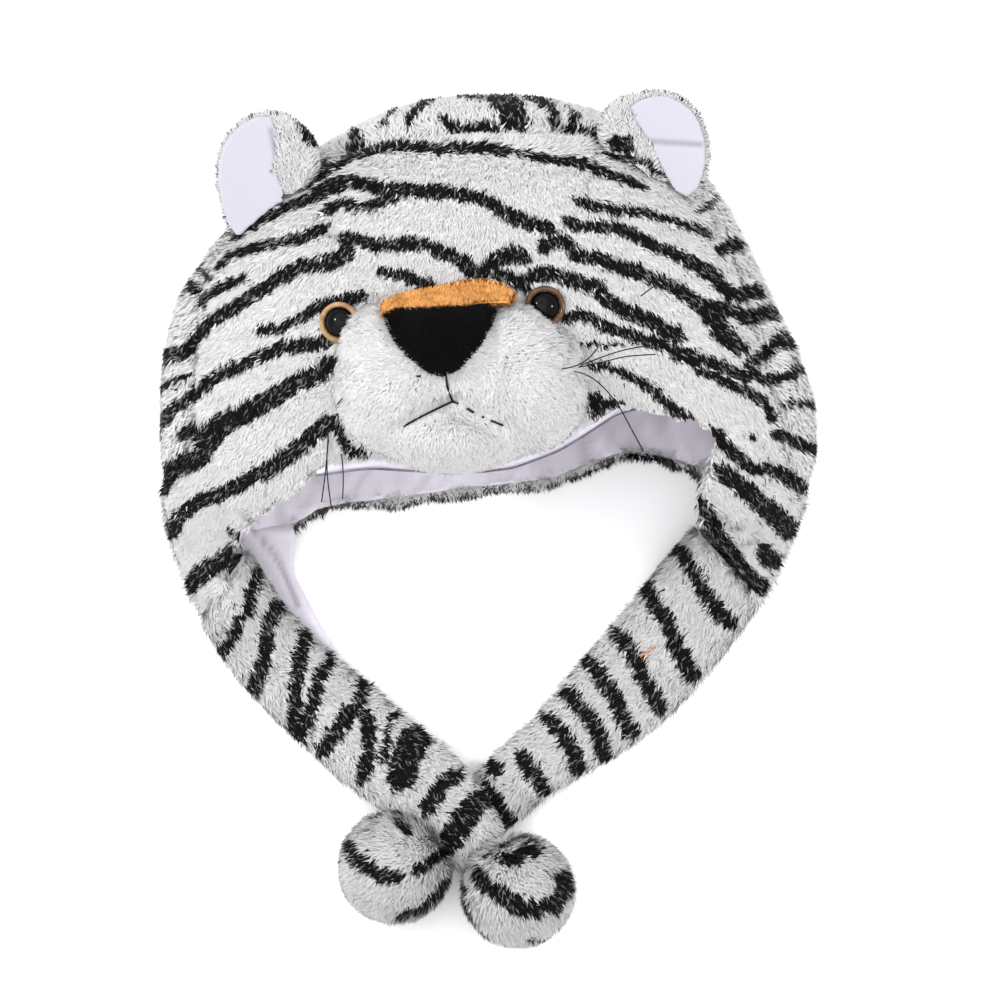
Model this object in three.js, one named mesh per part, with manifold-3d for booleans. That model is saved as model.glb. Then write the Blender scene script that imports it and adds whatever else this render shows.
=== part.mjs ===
// A plush animal hat lying on its back, face up, with its two straps bowed and crossed below it.
// Millimetres. X runs across the face, Y from the chin to the top of the crown, Z up from the
// surface that the hat lies on. The origin is the middle of the patch that the crown rests on.
import * as THREE from 'three';
import { mergeVertices } from 'three/addons/utils/BufferGeometryUtils.js';
import Module from 'manifold-3d';

const wasm = await Module();
wasm.setup();

// Crown
const HAT_WIDTH = 280;
const CROWN_LENGTH = 168;
const CROWN_DEPTH = 108;
const CROWN_SQUARENESS = 2.25;
const PLUSH_THICKNESS = 5;
const LINING_THICKNESS = 1.2;
const LAYER_GAP = 0.45;
const SEAM_GAP = 0.5;
const SEAT_GAP = 0.35;
const LINING_SETBACK = 1.5;

// Face
const MUZZLE_WIDTH = 109;
const MUZZLE_RISE = 33;
const CHIN_RISE = 30;
const NOSE_THICKNESS = 4;
const NOSE_BAND_THICKNESS = 5;
const EYE_DIAMETER = 17.6;
const PUPIL_DIAMETER = 11.6;
const EYE_RISE = 3.4;

// Ears
const EAR_WIDTH = 44;
const EAR_HEIGHT = 40;
const EAR_THICKNESS = 6;
const EAR_FOLD_RISE = 6;
const EAR_INNER_THICKNESS = 1.6;

// Straps and the balls at their ends
const STRAP_WIDTH = 47;
const STRAP_THICKNESS = 14;
const FLAP_LINING_THICKNESS = 3;
const BALL_DIAMETER = 47;
const BALL_FLATTENING = 1.4;

// Fineness of the faceted surfaces
const CROWN_RINGS = 17;
const CROWN_SIDES = 32;
const STRAP_RINGS = 18;
const STRAP_SIDES = 12;
const ROUND_SIDES = 20;

const HALF_WIDTH = HAT_WIDTH / 2;
const REACH = HAT_WIDTH;

// Places on the face are written as [share of half the width, share of the crown's length].
const place = ([across, along]) => new THREE.Vector2(across * HALF_WIDTH, along * CROWN_LENGTH);

// Cross-sections of the crown, from its closed top to the ends of the side flaps.
// along: share of the crown's length. left, right: shares of half the width.
// low, high: shares of the crown's depth; what would be below the table is pressed flat.
const CROWN_SECTIONS = [
  { along: 0.492, left: -0.03, right: 0.07, low: 0.3, high: 0.38 },
  { along: 0.482, left: -0.17, right: 0.18, low: 0.18, high: 0.52 },
  { along: 0.46, left: -0.28, right: 0.29, low: 0.1, high: 0.65 },
  { along: 0.42, left: -0.39, right: 0.43, low: 0.03, high: 0.77 },
  { along: 0.3625, left: -0.51, right: 0.55, low: -0.02, high: 0.87 },
  { along: 0.2875, left: -0.63, right: 0.65, low: -0.03, high: 0.94 },
  { along: 0.2, left: -0.75, right: 0.725, low: -0.035, high: 0.98 },
  { along: 0.1, left: -0.86, right: 0.785, low: -0.04, high: 1.0 },
  { along: -0.025, left: -0.945, right: 0.855, low: -0.04, high: 1.0 },
  { along: -0.15, left: -0.985, right: 0.93, low: -0.04, high: 0.99 },
  { along: -0.275, left: -1.0, right: 0.98, low: -0.04, high: 0.96 },
  { along: -0.4, left: -1.0, right: 0.99, low: -0.04, high: 0.9 },
  { along: -0.525, left: -0.99, right: 0.955, low: -0.04, high: 0.76 },
  { along: -0.6, left: -0.975, right: 0.92, low: -0.04, high: 0.62 },
  { along: -0.675, left: -0.945, right: 0.88, low: -0.04, high: 0.48 },
  { along: -0.75, left: -0.915, right: 0.845, low: -0.04, high: 0.38 },
  { along: -0.85, left: -0.86, right: 0.78, low: -0.04, high: 0.3 },
  { along: -1.0, left: -0.74, right: 0.66, low: -0.04, high: 0.24 },
];

// The seam between the face's panels and the panel that makes the back and the top.
const BACK_SEAM = [
  [-1.2, -0.49], [-0.98, -0.485], [-0.936, -0.46], [-0.9, -0.375], [-0.885, -0.275],
  [-0.879, -0.15], [-0.866, -0.0125], [-0.835, 0.07], [-0.775, 0.13], [-0.696, 0.19],
  [-0.6, 0.25], [-0.504, 0.31], [-0.375, 0.3525], [-0.24, 0.375], [-0.015, 0.388],
  [0.21, 0.385], [0.345, 0.367], [0.45, 0.34], [0.56, 0.275], [0.65, 0.195],
  [0.72, 0.0875], [0.765, -0.025], [0.81, -0.15], [0.86, -0.3], [0.89, -0.425],
  [0.925, -0.52], [1.2, -0.56],
];
const FOREHEAD_LEFT_SEAM = [
  [-0.52, 0.4], [-0.504, 0.31], [-0.483, 0.1425], [-0.453, 0.1125], [-0.369, -0.005],
  [-0.327, -0.03], [-0.225, -0.1], [-0.12, -0.15],
];
const FOREHEAD_RIGHT_SEAM = [
  [0.29, 0.47], [0.285, 0.36], [0.27, 0.24], [0.198, 0.1475], [0.126, 0.08],
  [0.084, 0], [-0.015, -0.0875], [-0.12, -0.15],
];
const MIDDLE_SEAM = [[-0.12, -0.15], [-0.12, -0.6]];

// The edge of the face's panels over the opening, and the edge of the back panel under it.
// Both start and end with the seams at which the straps are sewn to the side flaps.
const LEFT_STRAP_SEAM = [[-0.87, -0.845], [-0.729, -0.605]];
const RIGHT_STRAP_SEAM = [[0.606, -0.555], [0.834, -0.7875]];
const FRONT_EDGE = [[-0.51, -0.4575], [-0.3, -0.445], [0.048, -0.447], [0.21, -0.4],
  [0.39, -0.3375], [0.57, -0.335], [0.666, -0.355], [0.65, -0.445]];
const BACK_EDGE = [[-0.609, -0.6175], [-0.522, -0.5575], [-0.315, -0.5325], [-0.066, -0.5025],
  [0.183, -0.48], [0.4, -0.415], [0.585, -0.44], [0.635, -0.455]];

// Padded balls of the muzzle: middle and radii as shares of the muzzle's width, and the
// middle's depth under the face and the top over it as shares of the muzzle's rise.
const MUZZLE_PLACE = [-0.084, -0.2375];
const MUZZLE_LUMPS = [
  { across: -0.235, along: 0.0, rx: 0.266, ry: 0.275, sunk: 0.12, top: 0.96 },
  { across: 0.237, along: 0.005, rx: 0.26, ry: 0.278, sunk: 0.12, top: 0.96 },
  { across: -0.308, along: 0.154, rx: 0.17, ry: 0.17, sunk: 0.12, top: 0.8 },
  { across: 0.18, along: 0.185, rx: 0.17, ry: 0.147, sunk: 0.12, top: 0.8 },
  { across: -0.06, along: 0.13, rx: 0.28, ry: 0.2, sunk: 0.12, top: 1.0 },
  { across: -0.035, along: -0.02, rx: 0.24, ry: 0.15, sunk: 0.12, top: 0.88 },
];
const CHIN = { across: -0.035, along: -0.195, rx: 0.29, ry: 0.15, sunk: 0.45, top: 1.0 };

// Outlines on the muzzle, as shares of its width from its middle.
const NOSE_OUTLINE = [
  [-0.303, 0.272], [-0.289, 0.229], [-0.265, 0.178], [-0.23, 0.126], [-0.181, 0.083],
  [-0.13, 0.048], [-0.08, 0.028], [-0.035, 0.042], [0.039, 0.108], [0.09, 0.178],
  [0.125, 0.254], [0.137, 0.3], [0.108, 0.312], [0.0, 0.3], [-0.15, 0.296], [-0.27, 0.29],
];
const NOSE_BAND_OUTLINE = [
  [-0.318, 0.29], [-0.31, 0.328], [-0.26, 0.355], [-0.085, 0.388], [0.07, 0.408],
  [0.18, 0.378], [0.218, 0.338], [0.19, 0.316], [0.12, 0.318], [0, 0.302],
  [-0.15, 0.298], [-0.27, 0.28],
];

// The eyes' places, as shares of the muzzle's width from its middle.
const EYES = [
  { name: 'left', at: [-0.472, 0.239] },
  { name: 'right', at: [0.32, 0.3] },
];

// Ears: the outline as shares of the ear's width and height from the middle of its base,
// the smooth inner patch, and the folded inner edge, whose plush back is turned to the front.
const EARS = [
  {
    name: 'left',
    base: [-0.675, 0.2075],
    outline: [[-0.276, -0.33], [-0.41, 0.02], [-0.467, 0.337], [-0.43, 0.6], [-0.314, 0.81],
      [-0.143, 0.947], [0.03, 1.0], [0.19, 0.97], [0.333, 0.874], [0.476, 0.705],
      [0.543, 0.547], [0.5, 0.337], [0.33, 0.05], [0.095, -0.22]],
    inner: [[-0.27, -0.3], [-0.4, 0.02], [-0.445, 0.337], [-0.405, 0.59], [-0.3, 0.78],
      [-0.14, 0.91], [0.03, 0.955], [0.1, 0.9], [0.11, 0.6], [0.14, 0.3], [0.2, 0.1],
      [0.06, -0.2]],
    fold: { across: 0.345, along: 0.55, slant: -0.12, halfWidth: 0.14 },
  },
  {
    name: 'right',
    base: [0.48, 0.3125],
    outline: [[-0.38, 0.0], [-0.495, 0.263], [-0.476, 0.474], [-0.36, 0.65], [-0.143, 0.74],
      [0.095, 0.768], [0.286, 0.705], [0.448, 0.558], [0.543, 0.316], [0.562, 0.05],
      [0.505, -0.21], [0.38, -0.4], [0.095, -0.37], [-0.24, -0.16]],
    inner: [[-0.2, 0.6], [-0.05, 0.69], [0.095, 0.72], [0.27, 0.66], [0.42, 0.52],
      [0.505, 0.3], [0.525, 0.05], [0.47, -0.2], [0.38, -0.34], [0.25, -0.3],
      [0.14, -0.1], [0.02, 0.15], [-0.09, 0.36]],
    fold: { across: -0.28, along: 0.3, slant: -0.5, halfWidth: 0.14 },
  },
];

// Straps, from inside the side flaps to the balls.
// at: place of the middle. wide, thick: shares of the strap's width and thickness.
// lift: how much the strap's underside is off the table, as a share of its thickness.
const STRAPS = {
  left: [
    { at: [-0.88, -0.62], wide: 0.72, thick: 2.3, lift: 0 },
    { at: [-0.775, -0.775], wide: 0.72, thick: 2.1, lift: 0 },
    { at: [-0.69, -0.88], wide: 0.78, thick: 1.5, lift: 0 },
    { at: [-0.575, -0.985], wide: 0.83, thick: 1.15, lift: 0 },
    { at: [-0.456, -1.07], wide: 0.86, thick: 1.05, lift: 0.05 },
    { at: [-0.351, -1.15], wide: 0.88, thick: 1.0, lift: 0.4 },
    { at: [-0.216, -1.23], wide: 0.84, thick: 0.95, lift: 0.9 },
    { at: [-0.096, -1.325], wide: 0.7, thick: 0.9, lift: 0.95 },
    { at: [-0.015, -1.4275], wide: 0.56, thick: 0.9, lift: 0.95 },
    { at: [0.066, -1.495], wide: 0.45, thick: 0.9, lift: 1.0 },
  ],
  right: [
    { at: [0.79, -0.56], wide: 0.86, thick: 2.5, lift: 0 },
    { at: [0.735, -0.65], wide: 0.86, thick: 2.3, lift: 0 },
    { at: [0.639, -0.7675], wide: 0.98, thick: 1.6, lift: 0 },
    { at: [0.495, -0.9175], wide: 0.98, thick: 1.2, lift: 0 },
    { at: [0.348, -1.0425], wide: 0.92, thick: 1.05, lift: 0 },
    { at: [0.204, -1.145], wide: 0.72, thick: 0.9, lift: 0 },
    { at: [0.084, -1.22], wide: 0.64, thick: 0.85, lift: 0 },
    { at: [-0.03, -1.3125], wide: 0.6, thick: 0.85, lift: 0 },
    { at: [-0.15, -1.38], wide: 0.55, thick: 0.85, lift: 0.1 },
    { at: [-0.255, -1.43], wide: 0.45, thick: 0.85, lift: 0.3 },
  ],
};
const BALLS = {
  left: [-0.285, -1.445],
  right: [0.083, -1.503],
};
const FLAP_LINING_OUTLINE = [
  [-0.72, -0.625], [-0.615, -0.635], [-0.6, -0.7], [-0.567, -0.75], [-0.534, -0.805],
  [-0.492, -0.865], [-0.456, -0.912], [-0.51, -0.9], [-0.6, -0.85], [-0.7, -0.75],
];

// Solids

function solid(geometry) {
  const bare = geometry.clone();
  for (const name of Object.keys(bare.attributes)) {
    if (name !== 'position') bare.deleteAttribute(name);
  }
  const merged = mergeVertices(bare, 1e-4);
  return new wasm.Manifold(new wasm.Mesh({
    numProp: 3,
    vertProperties: new Float32Array(merged.attributes.position.array),
    triVerts: new Uint32Array(merged.index.array),
  }));
}

function faceted(points, triangles) {
  const geometry = new THREE.BufferGeometry();
  geometry.setAttribute('position', new THREE.Float32BufferAttribute(points.flat(), 3));
  geometry.setIndex(triangles.flat());
  return geometry;
}

function signedVolume(points, triangles) {
  const [a, b, c] = [new THREE.Vector3(), new THREE.Vector3(), new THREE.Vector3()];
  let total = 0;
  for (const [i, j, k] of triangles) {
    total += a.fromArray(points[i]).dot(b.fromArray(points[j]).cross(c.fromArray(points[k])));
  }
  return total / 6;
}

function outward(points, triangles) {
  const turned = signedVolume(points, triangles) < 0;
  return faceted(points, turned ? triangles.map(([i, j, k]) => [i, k, j]) : triangles);
}

// A closed body through rings with the same number of points, with a fan over each end.
function loft(rings) {
  const sides = rings[0].length;
  const points = rings.flat();
  const triangles = [];
  for (let r = 0; r + 1 < rings.length; r += 1) {
    for (let s = 0; s < sides; s += 1) {
      const a = r * sides + s;
      const b = r * sides + ((s + 1) % sides);
      triangles.push([a, b, a + sides], [b, b + sides, a + sides]);
    }
  }
  for (const [ring, offset] of [[rings[0], 0], [rings.at(-1), (rings.length - 1) * sides]]) {
    const middle = [0, 1, 2].map((axis) => ring.reduce((sum, p) => sum + p[axis], 0) / sides);
    points.push(middle);
    for (let s = 0; s < sides; s += 1) {
      const edge = [offset + s, offset + ((s + 1) % sides)];
      triangles.push(offset ? [...edge, points.length - 1] : [...edge.reverse(), points.length - 1]);
    }
  }
  return solid(outward(points, triangles));
}

// A smooth row of a table, at a place between 0 and 1 along it.
function between(rows, share) {
  const spot = share * (rows.length - 1);
  const i = Math.min(Math.floor(spot), rows.length - 2);
  const t = spot - i;
  const [a, b, c, d] = [i - 1, i, i + 1, i + 2].map(
    (n) => rows[Math.min(Math.max(n, 0), rows.length - 1)],
  );
  return b.map((_, k) => 0.5 * (2 * b[k] + (c[k] - a[k]) * t
    + (2 * a[k] - 5 * b[k] + 4 * c[k] - d[k]) * t * t
    + (3 * b[k] - a[k] - 3 * c[k] + d[k]) * t * t * t));
}

// A full curve between round (2) and square (more), at an angle.
function rounded(angle, squareness) {
  const bend = (v) => Math.sign(v) * Math.abs(v) ** (2 / squareness);
  return [bend(Math.cos(angle)), bend(Math.sin(angle))];
}

// A cut can leave a sliver at a corner where two edges meet; the piece is what is left of it.
function largest(body) {
  return body.decompose().reduce((best, one) => (one.volume() > best.volume() ? one : best));
}

function prism(outline, low, high) {
  const geometry = new THREE.ExtrudeGeometry(new THREE.Shape(outline), {
    depth: high - low,
    bevelEnabled: false,
  });
  return solid(geometry.translate(0, 0, low));
}

function anticlockwise(outline) {
  return THREE.ShapeUtils.isClockWise(outline) ? [...outline].reverse() : outline;
}

function grown(outline, by) {
  const loop = anticlockwise(outline);
  return loop.map((p, i) => {
    const before = loop.at(i - 1);
    const after = loop[(i + 1) % loop.length];
    const along = after.clone().sub(before).normalize();
    return new THREE.Vector2(p.x + along.y * by, p.y - along.x * by);
  });
}

// A thin wall that stands along a seam, to part the panels on its two sides.
function seamWall(line, width) {
  const side = (sign) => line.map((p, i) => {
    const before = line[Math.max(i - 1, 0)];
    const after = line[Math.min(i + 1, line.length - 1)];
    const along = after.clone().sub(before).normalize();
    const half = (sign * width) / 2;
    return new THREE.Vector2(p.x + along.y * half, p.y - along.x * half);
  });
  return prism(anticlockwise([...side(1), ...side(-1).reverse()]), -REACH, REACH);
}

// A smooth line through a few points.
function smoothLine(line, steps = 2) {
  const curve = new THREE.CatmullRomCurve3(
    line.map((p) => new THREE.Vector3(p.x, p.y, 0)), false, 'centripetal',
  );
  return curve.getPoints(steps * (line.length - 1)).map((p) => new THREE.Vector2(p.x, p.y));
}

function smoothLoop(outline, count) {
  const curve = new THREE.CatmullRomCurve3(
    outline.map((p) => new THREE.Vector3(p.x, p.y, 0)), true, 'centripetal',
  );
  return curve.getSpacedPoints(count).slice(0, count).map((p) => new THREE.Vector2(p.x, p.y));
}

// A cushion over an outline, between a lower and an upper surface that meet near its edge.
function cushion(outline, low, high) {
  const count = ROUND_SIDES;
  const steps = [0.5, 0.85, 1];
  const loop = smoothLoop(outline, count);
  const middle = loop.reduce((sum, p) => sum.add(p), new THREE.Vector2()).divideScalar(count);
  const points = [];
  const triangles = [];
  const lay = (surface, sign) => {
    const first = points.length;
    points.push([middle.x, middle.y, surface(middle.x, middle.y, 0)]);
    for (const share of steps) {
      for (const p of loop) {
        const at = middle.clone().lerp(p, share);
        points.push([at.x, at.y, surface(at.x, at.y, share)]);
      }
    }
    for (let s = 0; s < count; s += 1) {
      const next = (s + 1) % count;
      const fan = [first, first + 1 + s, first + 1 + next];
      triangles.push(sign > 0 ? fan : [fan[0], fan[2], fan[1]]);
      for (let r = 0; r + 1 < steps.length; r += 1) {
        const [a, b] = [first + 1 + r * count + s, first + 1 + r * count + next];
        const pair = [[a, a + count, b], [b, a + count, b + count]];
        triangles.push(...(sign > 0 ? pair : pair.map(([i, j, k]) => [i, k, j])));
      }
    }
    return first + 1 + (steps.length - 1) * count;
  };
  const top = lay(high, 1);
  const bottom = lay(low, -1);
  for (let s = 0; s < count; s += 1) {
    const next = (s + 1) % count;
    triangles.push([top + s, bottom + s, top + next], [top + next, bottom + s, bottom + next]);
  }
  return solid(outward(points, triangles));
}

// Crown

const crownRows = CROWN_SECTIONS.map((row) => [
  row.along * CROWN_LENGTH,
  row.left * HALF_WIDTH,
  row.right * HALF_WIDTH,
  row.low * CROWN_DEPTH,
  row.high * CROWN_DEPTH,
]);
const CROWN_TOP = crownRows[0][0];
const CROWN_END = crownRows.at(-1)[0];

// The crown's full body, with its surface moved inward by inset.
function crown(inset) {
  const shrink = 1 - inset / (CROWN_TOP - CROWN_END);
  const rings = [];
  for (let r = 0; r <= CROWN_RINGS; r += 1) {
    const [y, left, right, low, high] = between(crownRows, r / CROWN_RINGS);
    const [halfX, halfZ] = [(right - left) / 2, (high - low) / 2];
    const [rx, rz] = [halfX, halfZ].map((half) => Math.max(half - inset, half / 10));
    const ring = [];
    for (let s = 0; s < CROWN_SIDES; s += 1) {
      const [x, z] = rounded((2 * Math.PI * (s + 0.5)) / CROWN_SIDES, CROWN_SQUARENESS);
      ring.push([
        (left + right) / 2 + rx * x,
        CROWN_END + (y - CROWN_END) * shrink,
        Math.max((low + high) / 2 + rz * z, inset),
      ]);
    }
    rings.push(ring);
  }
  return loft(rings);
}

function crownRowAt(y) {
  let [from, to] = [0, 1];
  for (let n = 0; n < 30; n += 1) {
    const half = (from + to) / 2;
    if (between(crownRows, half)[0] > y) from = half;
    else to = half;
  }
  return between(crownRows, from);
}

// Height of the face's side of the crown over a place.
function faceHeight(x, y) {
  const [, left, right, low, high] = crownRowAt(y);
  const off = Math.min(Math.abs(x - (left + right) / 2) / ((right - left) / 2), 1);
  const rise = (1 - off ** CROWN_SQUARENESS) ** (1 / CROWN_SQUARENESS);
  return (low + high) / 2 + ((high - low) / 2) * rise;
}

function faceNormal(x, y) {
  const step = 1;
  return new THREE.Vector3(
    (faceHeight(x - step, y) - faceHeight(x + step, y)) / (2 * step),
    (faceHeight(x, y - step) - faceHeight(x, y + step)) / (2 * step),
    1,
  ).normalize();
}

// Everything in front of the crown's side folds.
function frontHalf(raised) {
  const line = crownRows.map(([y, , , low, high]) => [y, (low + high) / 2 + raised]);
  line.unshift([line[0][0] + REACH, line[0][1]]);
  line.push([line.at(-1)[0] - REACH, line.at(-1)[1]]);
  const ring = (x) => [
    ...line.map(([y, z]) => [x, y, z]),
    ...[...line].reverse().map(([y]) => [x, y, REACH]),
  ];
  return loft([ring(-REACH), ring(REACH)]);
}

const leftStrapSeam = LEFT_STRAP_SEAM.map(place);
const rightStrapSeam = RIGHT_STRAP_SEAM.map(place);
const corner = (across, along) => new THREE.Vector2(across * REACH, along * REACH);

// What lies above an edge of the opening and the two strap seams, moved back by setback.
function aboveEdge(edge, setback) {
  const line = [
    leftStrapSeam[0].clone().lerp(leftStrapSeam[1], -0.4),
    leftStrapSeam[1],
    ...smoothLine(edge.map(place)),
    rightStrapSeam[0],
    rightStrapSeam[1].clone().lerp(rightStrapSeam[0], -0.4),
  ];
  const outline = [...line, corner(1, line.at(-1).y / REACH), corner(1, 1), corner(-1, 1),
    corner(-1, line[0].y / REACH)];
  return prism(anticlockwise(grown(outline, -setback)), -REACH, REACH);
}

const aboveFront = aboveEdge(FRONT_EDGE, 0);
const aboveBack = aboveEdge(BACK_EDGE, 0);
const backSeam = smoothLine(BACK_SEAM.map(place), 1);
const faceRegion = prism(
  anticlockwise([...backSeam, corner(1, -1), corner(-1, -1)]), -REACH, REACH,
);
const plush = crown(0).subtract(crown(PLUSH_THICKNESS));
const backSeamWall = seamWall(backSeam, SEAM_GAP).intersect(frontHalf(-SEAM_GAP / 2));
const facePlush = plush.intersect(faceRegion).intersect(frontHalf(SEAM_GAP / 2))
  .intersect(aboveFront).subtract(backSeamWall);
const backPanel = plush.subtract(faceRegion.intersect(frontHalf(-SEAM_GAP / 2)))
  .intersect(aboveBack).subtract(backSeamWall);

const foreheadLeft = FOREHEAD_LEFT_SEAM.map(place);
const foreheadRight = FOREHEAD_RIGHT_SEAM.map(place);
const middleSeam = MIDDLE_SEAM.map(place);
const foreheadRegion = prism(
  anticlockwise([...foreheadLeft, ...[...foreheadRight].reverse().slice(1), corner(0, 1)]),
  -REACH, REACH,
);
const leftRegion = prism(
  anticlockwise([corner(-1, 1), foreheadLeft[0].clone().setY(REACH), ...foreheadLeft,
    middleSeam[1], middleSeam[1].clone().setY(-REACH), corner(-1, -1)]),
  -REACH, REACH,
);
const panelWalls = seamWall(foreheadLeft, SEAM_GAP)
  .add(seamWall(foreheadRight, SEAM_GAP))
  .add(seamWall([middleSeam[0], middleSeam[1].clone().setY(-REACH)], SEAM_GAP));
const foreheadPanel = facePlush.intersect(foreheadRegion).subtract(panelWalls);
const leftPanel = facePlush.intersect(leftRegion).subtract(foreheadRegion).subtract(panelWalls);
const rightPanel = facePlush.subtract(leftRegion).subtract(foreheadRegion).subtract(panelWalls);

const liningShell = crown(PLUSH_THICKNESS + LAYER_GAP)
  .subtract(crown(PLUSH_THICKNESS + LAYER_GAP + LINING_THICKNESS));
const liningFold = frontHalf(0);
const lining = largest(
  liningShell.intersect(liningFold).intersect(aboveEdge(FRONT_EDGE, LINING_SETBACK))
    .add(liningShell.subtract(liningFold).intersect(aboveEdge(BACK_EDGE, LINING_SETBACK))),
);

const seatOnCrown = crown(-SEAT_GAP);

// Muzzle, chin and nose

const muzzleMiddle = place(MUZZLE_PLACE);
const muzzleBase = faceHeight(muzzleMiddle.x, muzzleMiddle.y);

function lump(row, rise, grow) {
  const geometry = new THREE.SphereGeometry(1, ROUND_SIDES, 12);
  const sunk = row.sunk * rise;
  geometry.scale(
    row.rx * MUZZLE_WIDTH + grow,
    row.ry * MUZZLE_WIDTH + grow,
    row.top * rise + sunk + grow,
  );
  geometry.translate(
    muzzleMiddle.x + row.across * MUZZLE_WIDTH,
    muzzleMiddle.y + row.along * MUZZLE_WIDTH,
    muzzleBase - sunk,
  );
  return solid(geometry);
}

const lumps = (grow) => MUZZLE_LUMPS.map((row) => lump(row, MUZZLE_RISE, grow))
  .reduce((all, one) => all.add(one));
const muzzle = lumps(0).subtract(seatOnCrown);
const chin = lump(CHIN, CHIN_RISE, 0).subtract(seatOnCrown).subtract(lumps(SEAT_GAP));
const face = (grow) => lumps(grow).add(crown(-grow));
const faceSeat = face(SEAT_GAP);

const onMuzzle = ([across, along]) => new THREE.Vector2(
  muzzleMiddle.x + across * MUZZLE_WIDTH,
  muzzleMiddle.y + along * MUZZLE_WIDTH,
);
const noseOutline = smoothLoop(NOSE_OUTLINE.map(onMuzzle), ROUND_SIDES);
const nose = prism(anticlockwise(noseOutline), muzzleBase - MUZZLE_RISE, REACH)
  .intersect(face(SEAT_GAP + NOSE_THICKNESS)).subtract(faceSeat);
const noseBand = prism(
  anticlockwise(smoothLoop(NOSE_BAND_OUTLINE.map(onMuzzle), ROUND_SIDES)),
  muzzleBase - MUZZLE_RISE, REACH,
).intersect(face(SEAT_GAP + NOSE_BAND_THICKNESS)).subtract(faceSeat)
  .subtract(prism(grown(noseOutline, SEAM_GAP), 0, REACH));

// Eyes: a ring with a domed pupil in it, set square to the face

function turned(profile) {
  return new THREE.LatheGeometry(profile.map(([r, z]) => new THREE.Vector2(r, z)), ROUND_SIDES)
    .rotateX(Math.PI / 2);
}

function setOnFace(geometry, at) {
  const up = faceNormal(at.x, at.y);
  const turn = new THREE.Quaternion().setFromUnitVectors(new THREE.Vector3(0, 0, 1), up);
  geometry.applyQuaternion(turn);
  geometry.translate(at.x, at.y, faceHeight(at.x, at.y));
  return solid(geometry).subtract(faceSeat);
}

const eyeRadius = EYE_DIAMETER / 2;
const pupilRadius = PUPIL_DIAMETER / 2;
const ringHole = pupilRadius + SEAT_GAP;
const stem = -PLUSH_THICKNESS / 2;
const ringProfile = [
  [ringHole, stem],
  [eyeRadius, stem],
  [eyeRadius, EYE_RISE * 0.45],
  [eyeRadius - EYE_RISE * 0.25, EYE_RISE * 0.8],
  [(eyeRadius + ringHole) / 2, EYE_RISE],
  [ringHole, EYE_RISE * 0.9],
  [ringHole, stem],
];
const pupilProfile = [
  [0, stem],
  [pupilRadius, stem],
  [pupilRadius, EYE_RISE * 0.9],
  [pupilRadius * 0.85, EYE_RISE * 1.2],
  [pupilRadius * 0.5, EYE_RISE * 1.45],
  [0, EYE_RISE * 1.55],
];

// Ears

function earParts(ear) {
  const base = place(ear.base);
  const spot = ([across, along]) => new THREE.Vector2(
    base.x + across * EAR_WIDTH,
    base.y + along * EAR_HEIGHT,
  );
  const height = faceHeight(base.x, base.y);
  const sheet = (x, y) => {
    const across = (x - base.x) / EAR_WIDTH;
    const along = (y - base.y) / EAR_HEIGHT;
    return height + EAR_HEIGHT * (0.22 * along + 0.25 * across * across);
  };
  const fold = (x, y) => {
    const across = (x - base.x) / EAR_WIDTH;
    const along = (y - base.y) / EAR_HEIGHT;
    const off = across - ear.fold.across - ear.fold.slant * (along - ear.fold.along);
    return EAR_FOLD_RISE * Math.exp(-((off / ear.fold.halfWidth) ** 2));
  };
  const edge = (share) => (share < 1 ? 1 : 0.45);
  const low = (x, y, share) => sheet(x, y) - (EAR_THICKNESS / 2) * edge(share);
  const high = (lift) => (x, y, share) => (
    sheet(x, y) + (EAR_THICKNESS / 2 + fold(x, y)) * edge(share) + lift
  );
  const outline = ear.outline.map(spot);
  const whole = cushion(outline, low, high(0)).subtract(seatOnCrown);
  const seat = cushion(outline, (x, y) => sheet(x, y) - EAR_HEIGHT, high(SEAT_GAP));
  const inner = cushion(
    ear.inner.map(spot),
    (x, y) => sheet(x, y) - EAR_THICKNESS,
    (x, y) => sheet(x, y) + EAR_THICKNESS / 2 + SEAT_GAP + EAR_INNER_THICKNESS,
  ).subtract(seat).subtract(seatOnCrown);
  return { whole, inner };
}

// Straps and balls

function strap(side, grow) {
  const rows = STRAPS[side].map((row) => {
    const at = place(row.at);
    return [at.x, at.y, row.wide * STRAP_WIDTH, row.thick * STRAP_THICKNESS,
      row.lift * STRAP_THICKNESS];
  });
  const rings = [];
  for (let r = 0; r <= STRAP_RINGS; r += 1) {
    const share = r / STRAP_RINGS;
    const [x, y, wide, thick, lift] = between(rows, share);
    const before = between(rows, Math.max(share - 0.01, 0));
    const after = between(rows, Math.min(share + 0.01, 1));
    const along = new THREE.Vector2(after[0] - before[0], after[1] - before[1]).normalize();
    const ring = [];
    for (let s = 0; s < STRAP_SIDES; s += 1) {
      const [u, w] = rounded((2 * Math.PI * (s + 0.5)) / STRAP_SIDES, 2.4);
      const out = u * (wide / 2 + grow);
      ring.push([
        x + along.y * out,
        y - along.x * out,
        Math.max(lift + thick / 2 + w * (thick / 2 + grow), -grow),
      ]);
    }
    rings.push(ring);
  }
  return loft(rings);
}

function ball(side, grow) {
  const at = place(BALLS[side]);
  const radius = BALL_DIAMETER / 2;
  const geometry = new THREE.SphereGeometry(radius + grow, ROUND_SIDES, 14).rotateX(Math.PI / 2);
  geometry.translate(at.x, at.y, radius - BALL_FLATTENING);
  const points = geometry.attributes.position;
  for (let i = 0; i < points.count; i += 1) points.setZ(i, Math.max(points.getZ(i), -grow));
  return solid(geometry);
}

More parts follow.
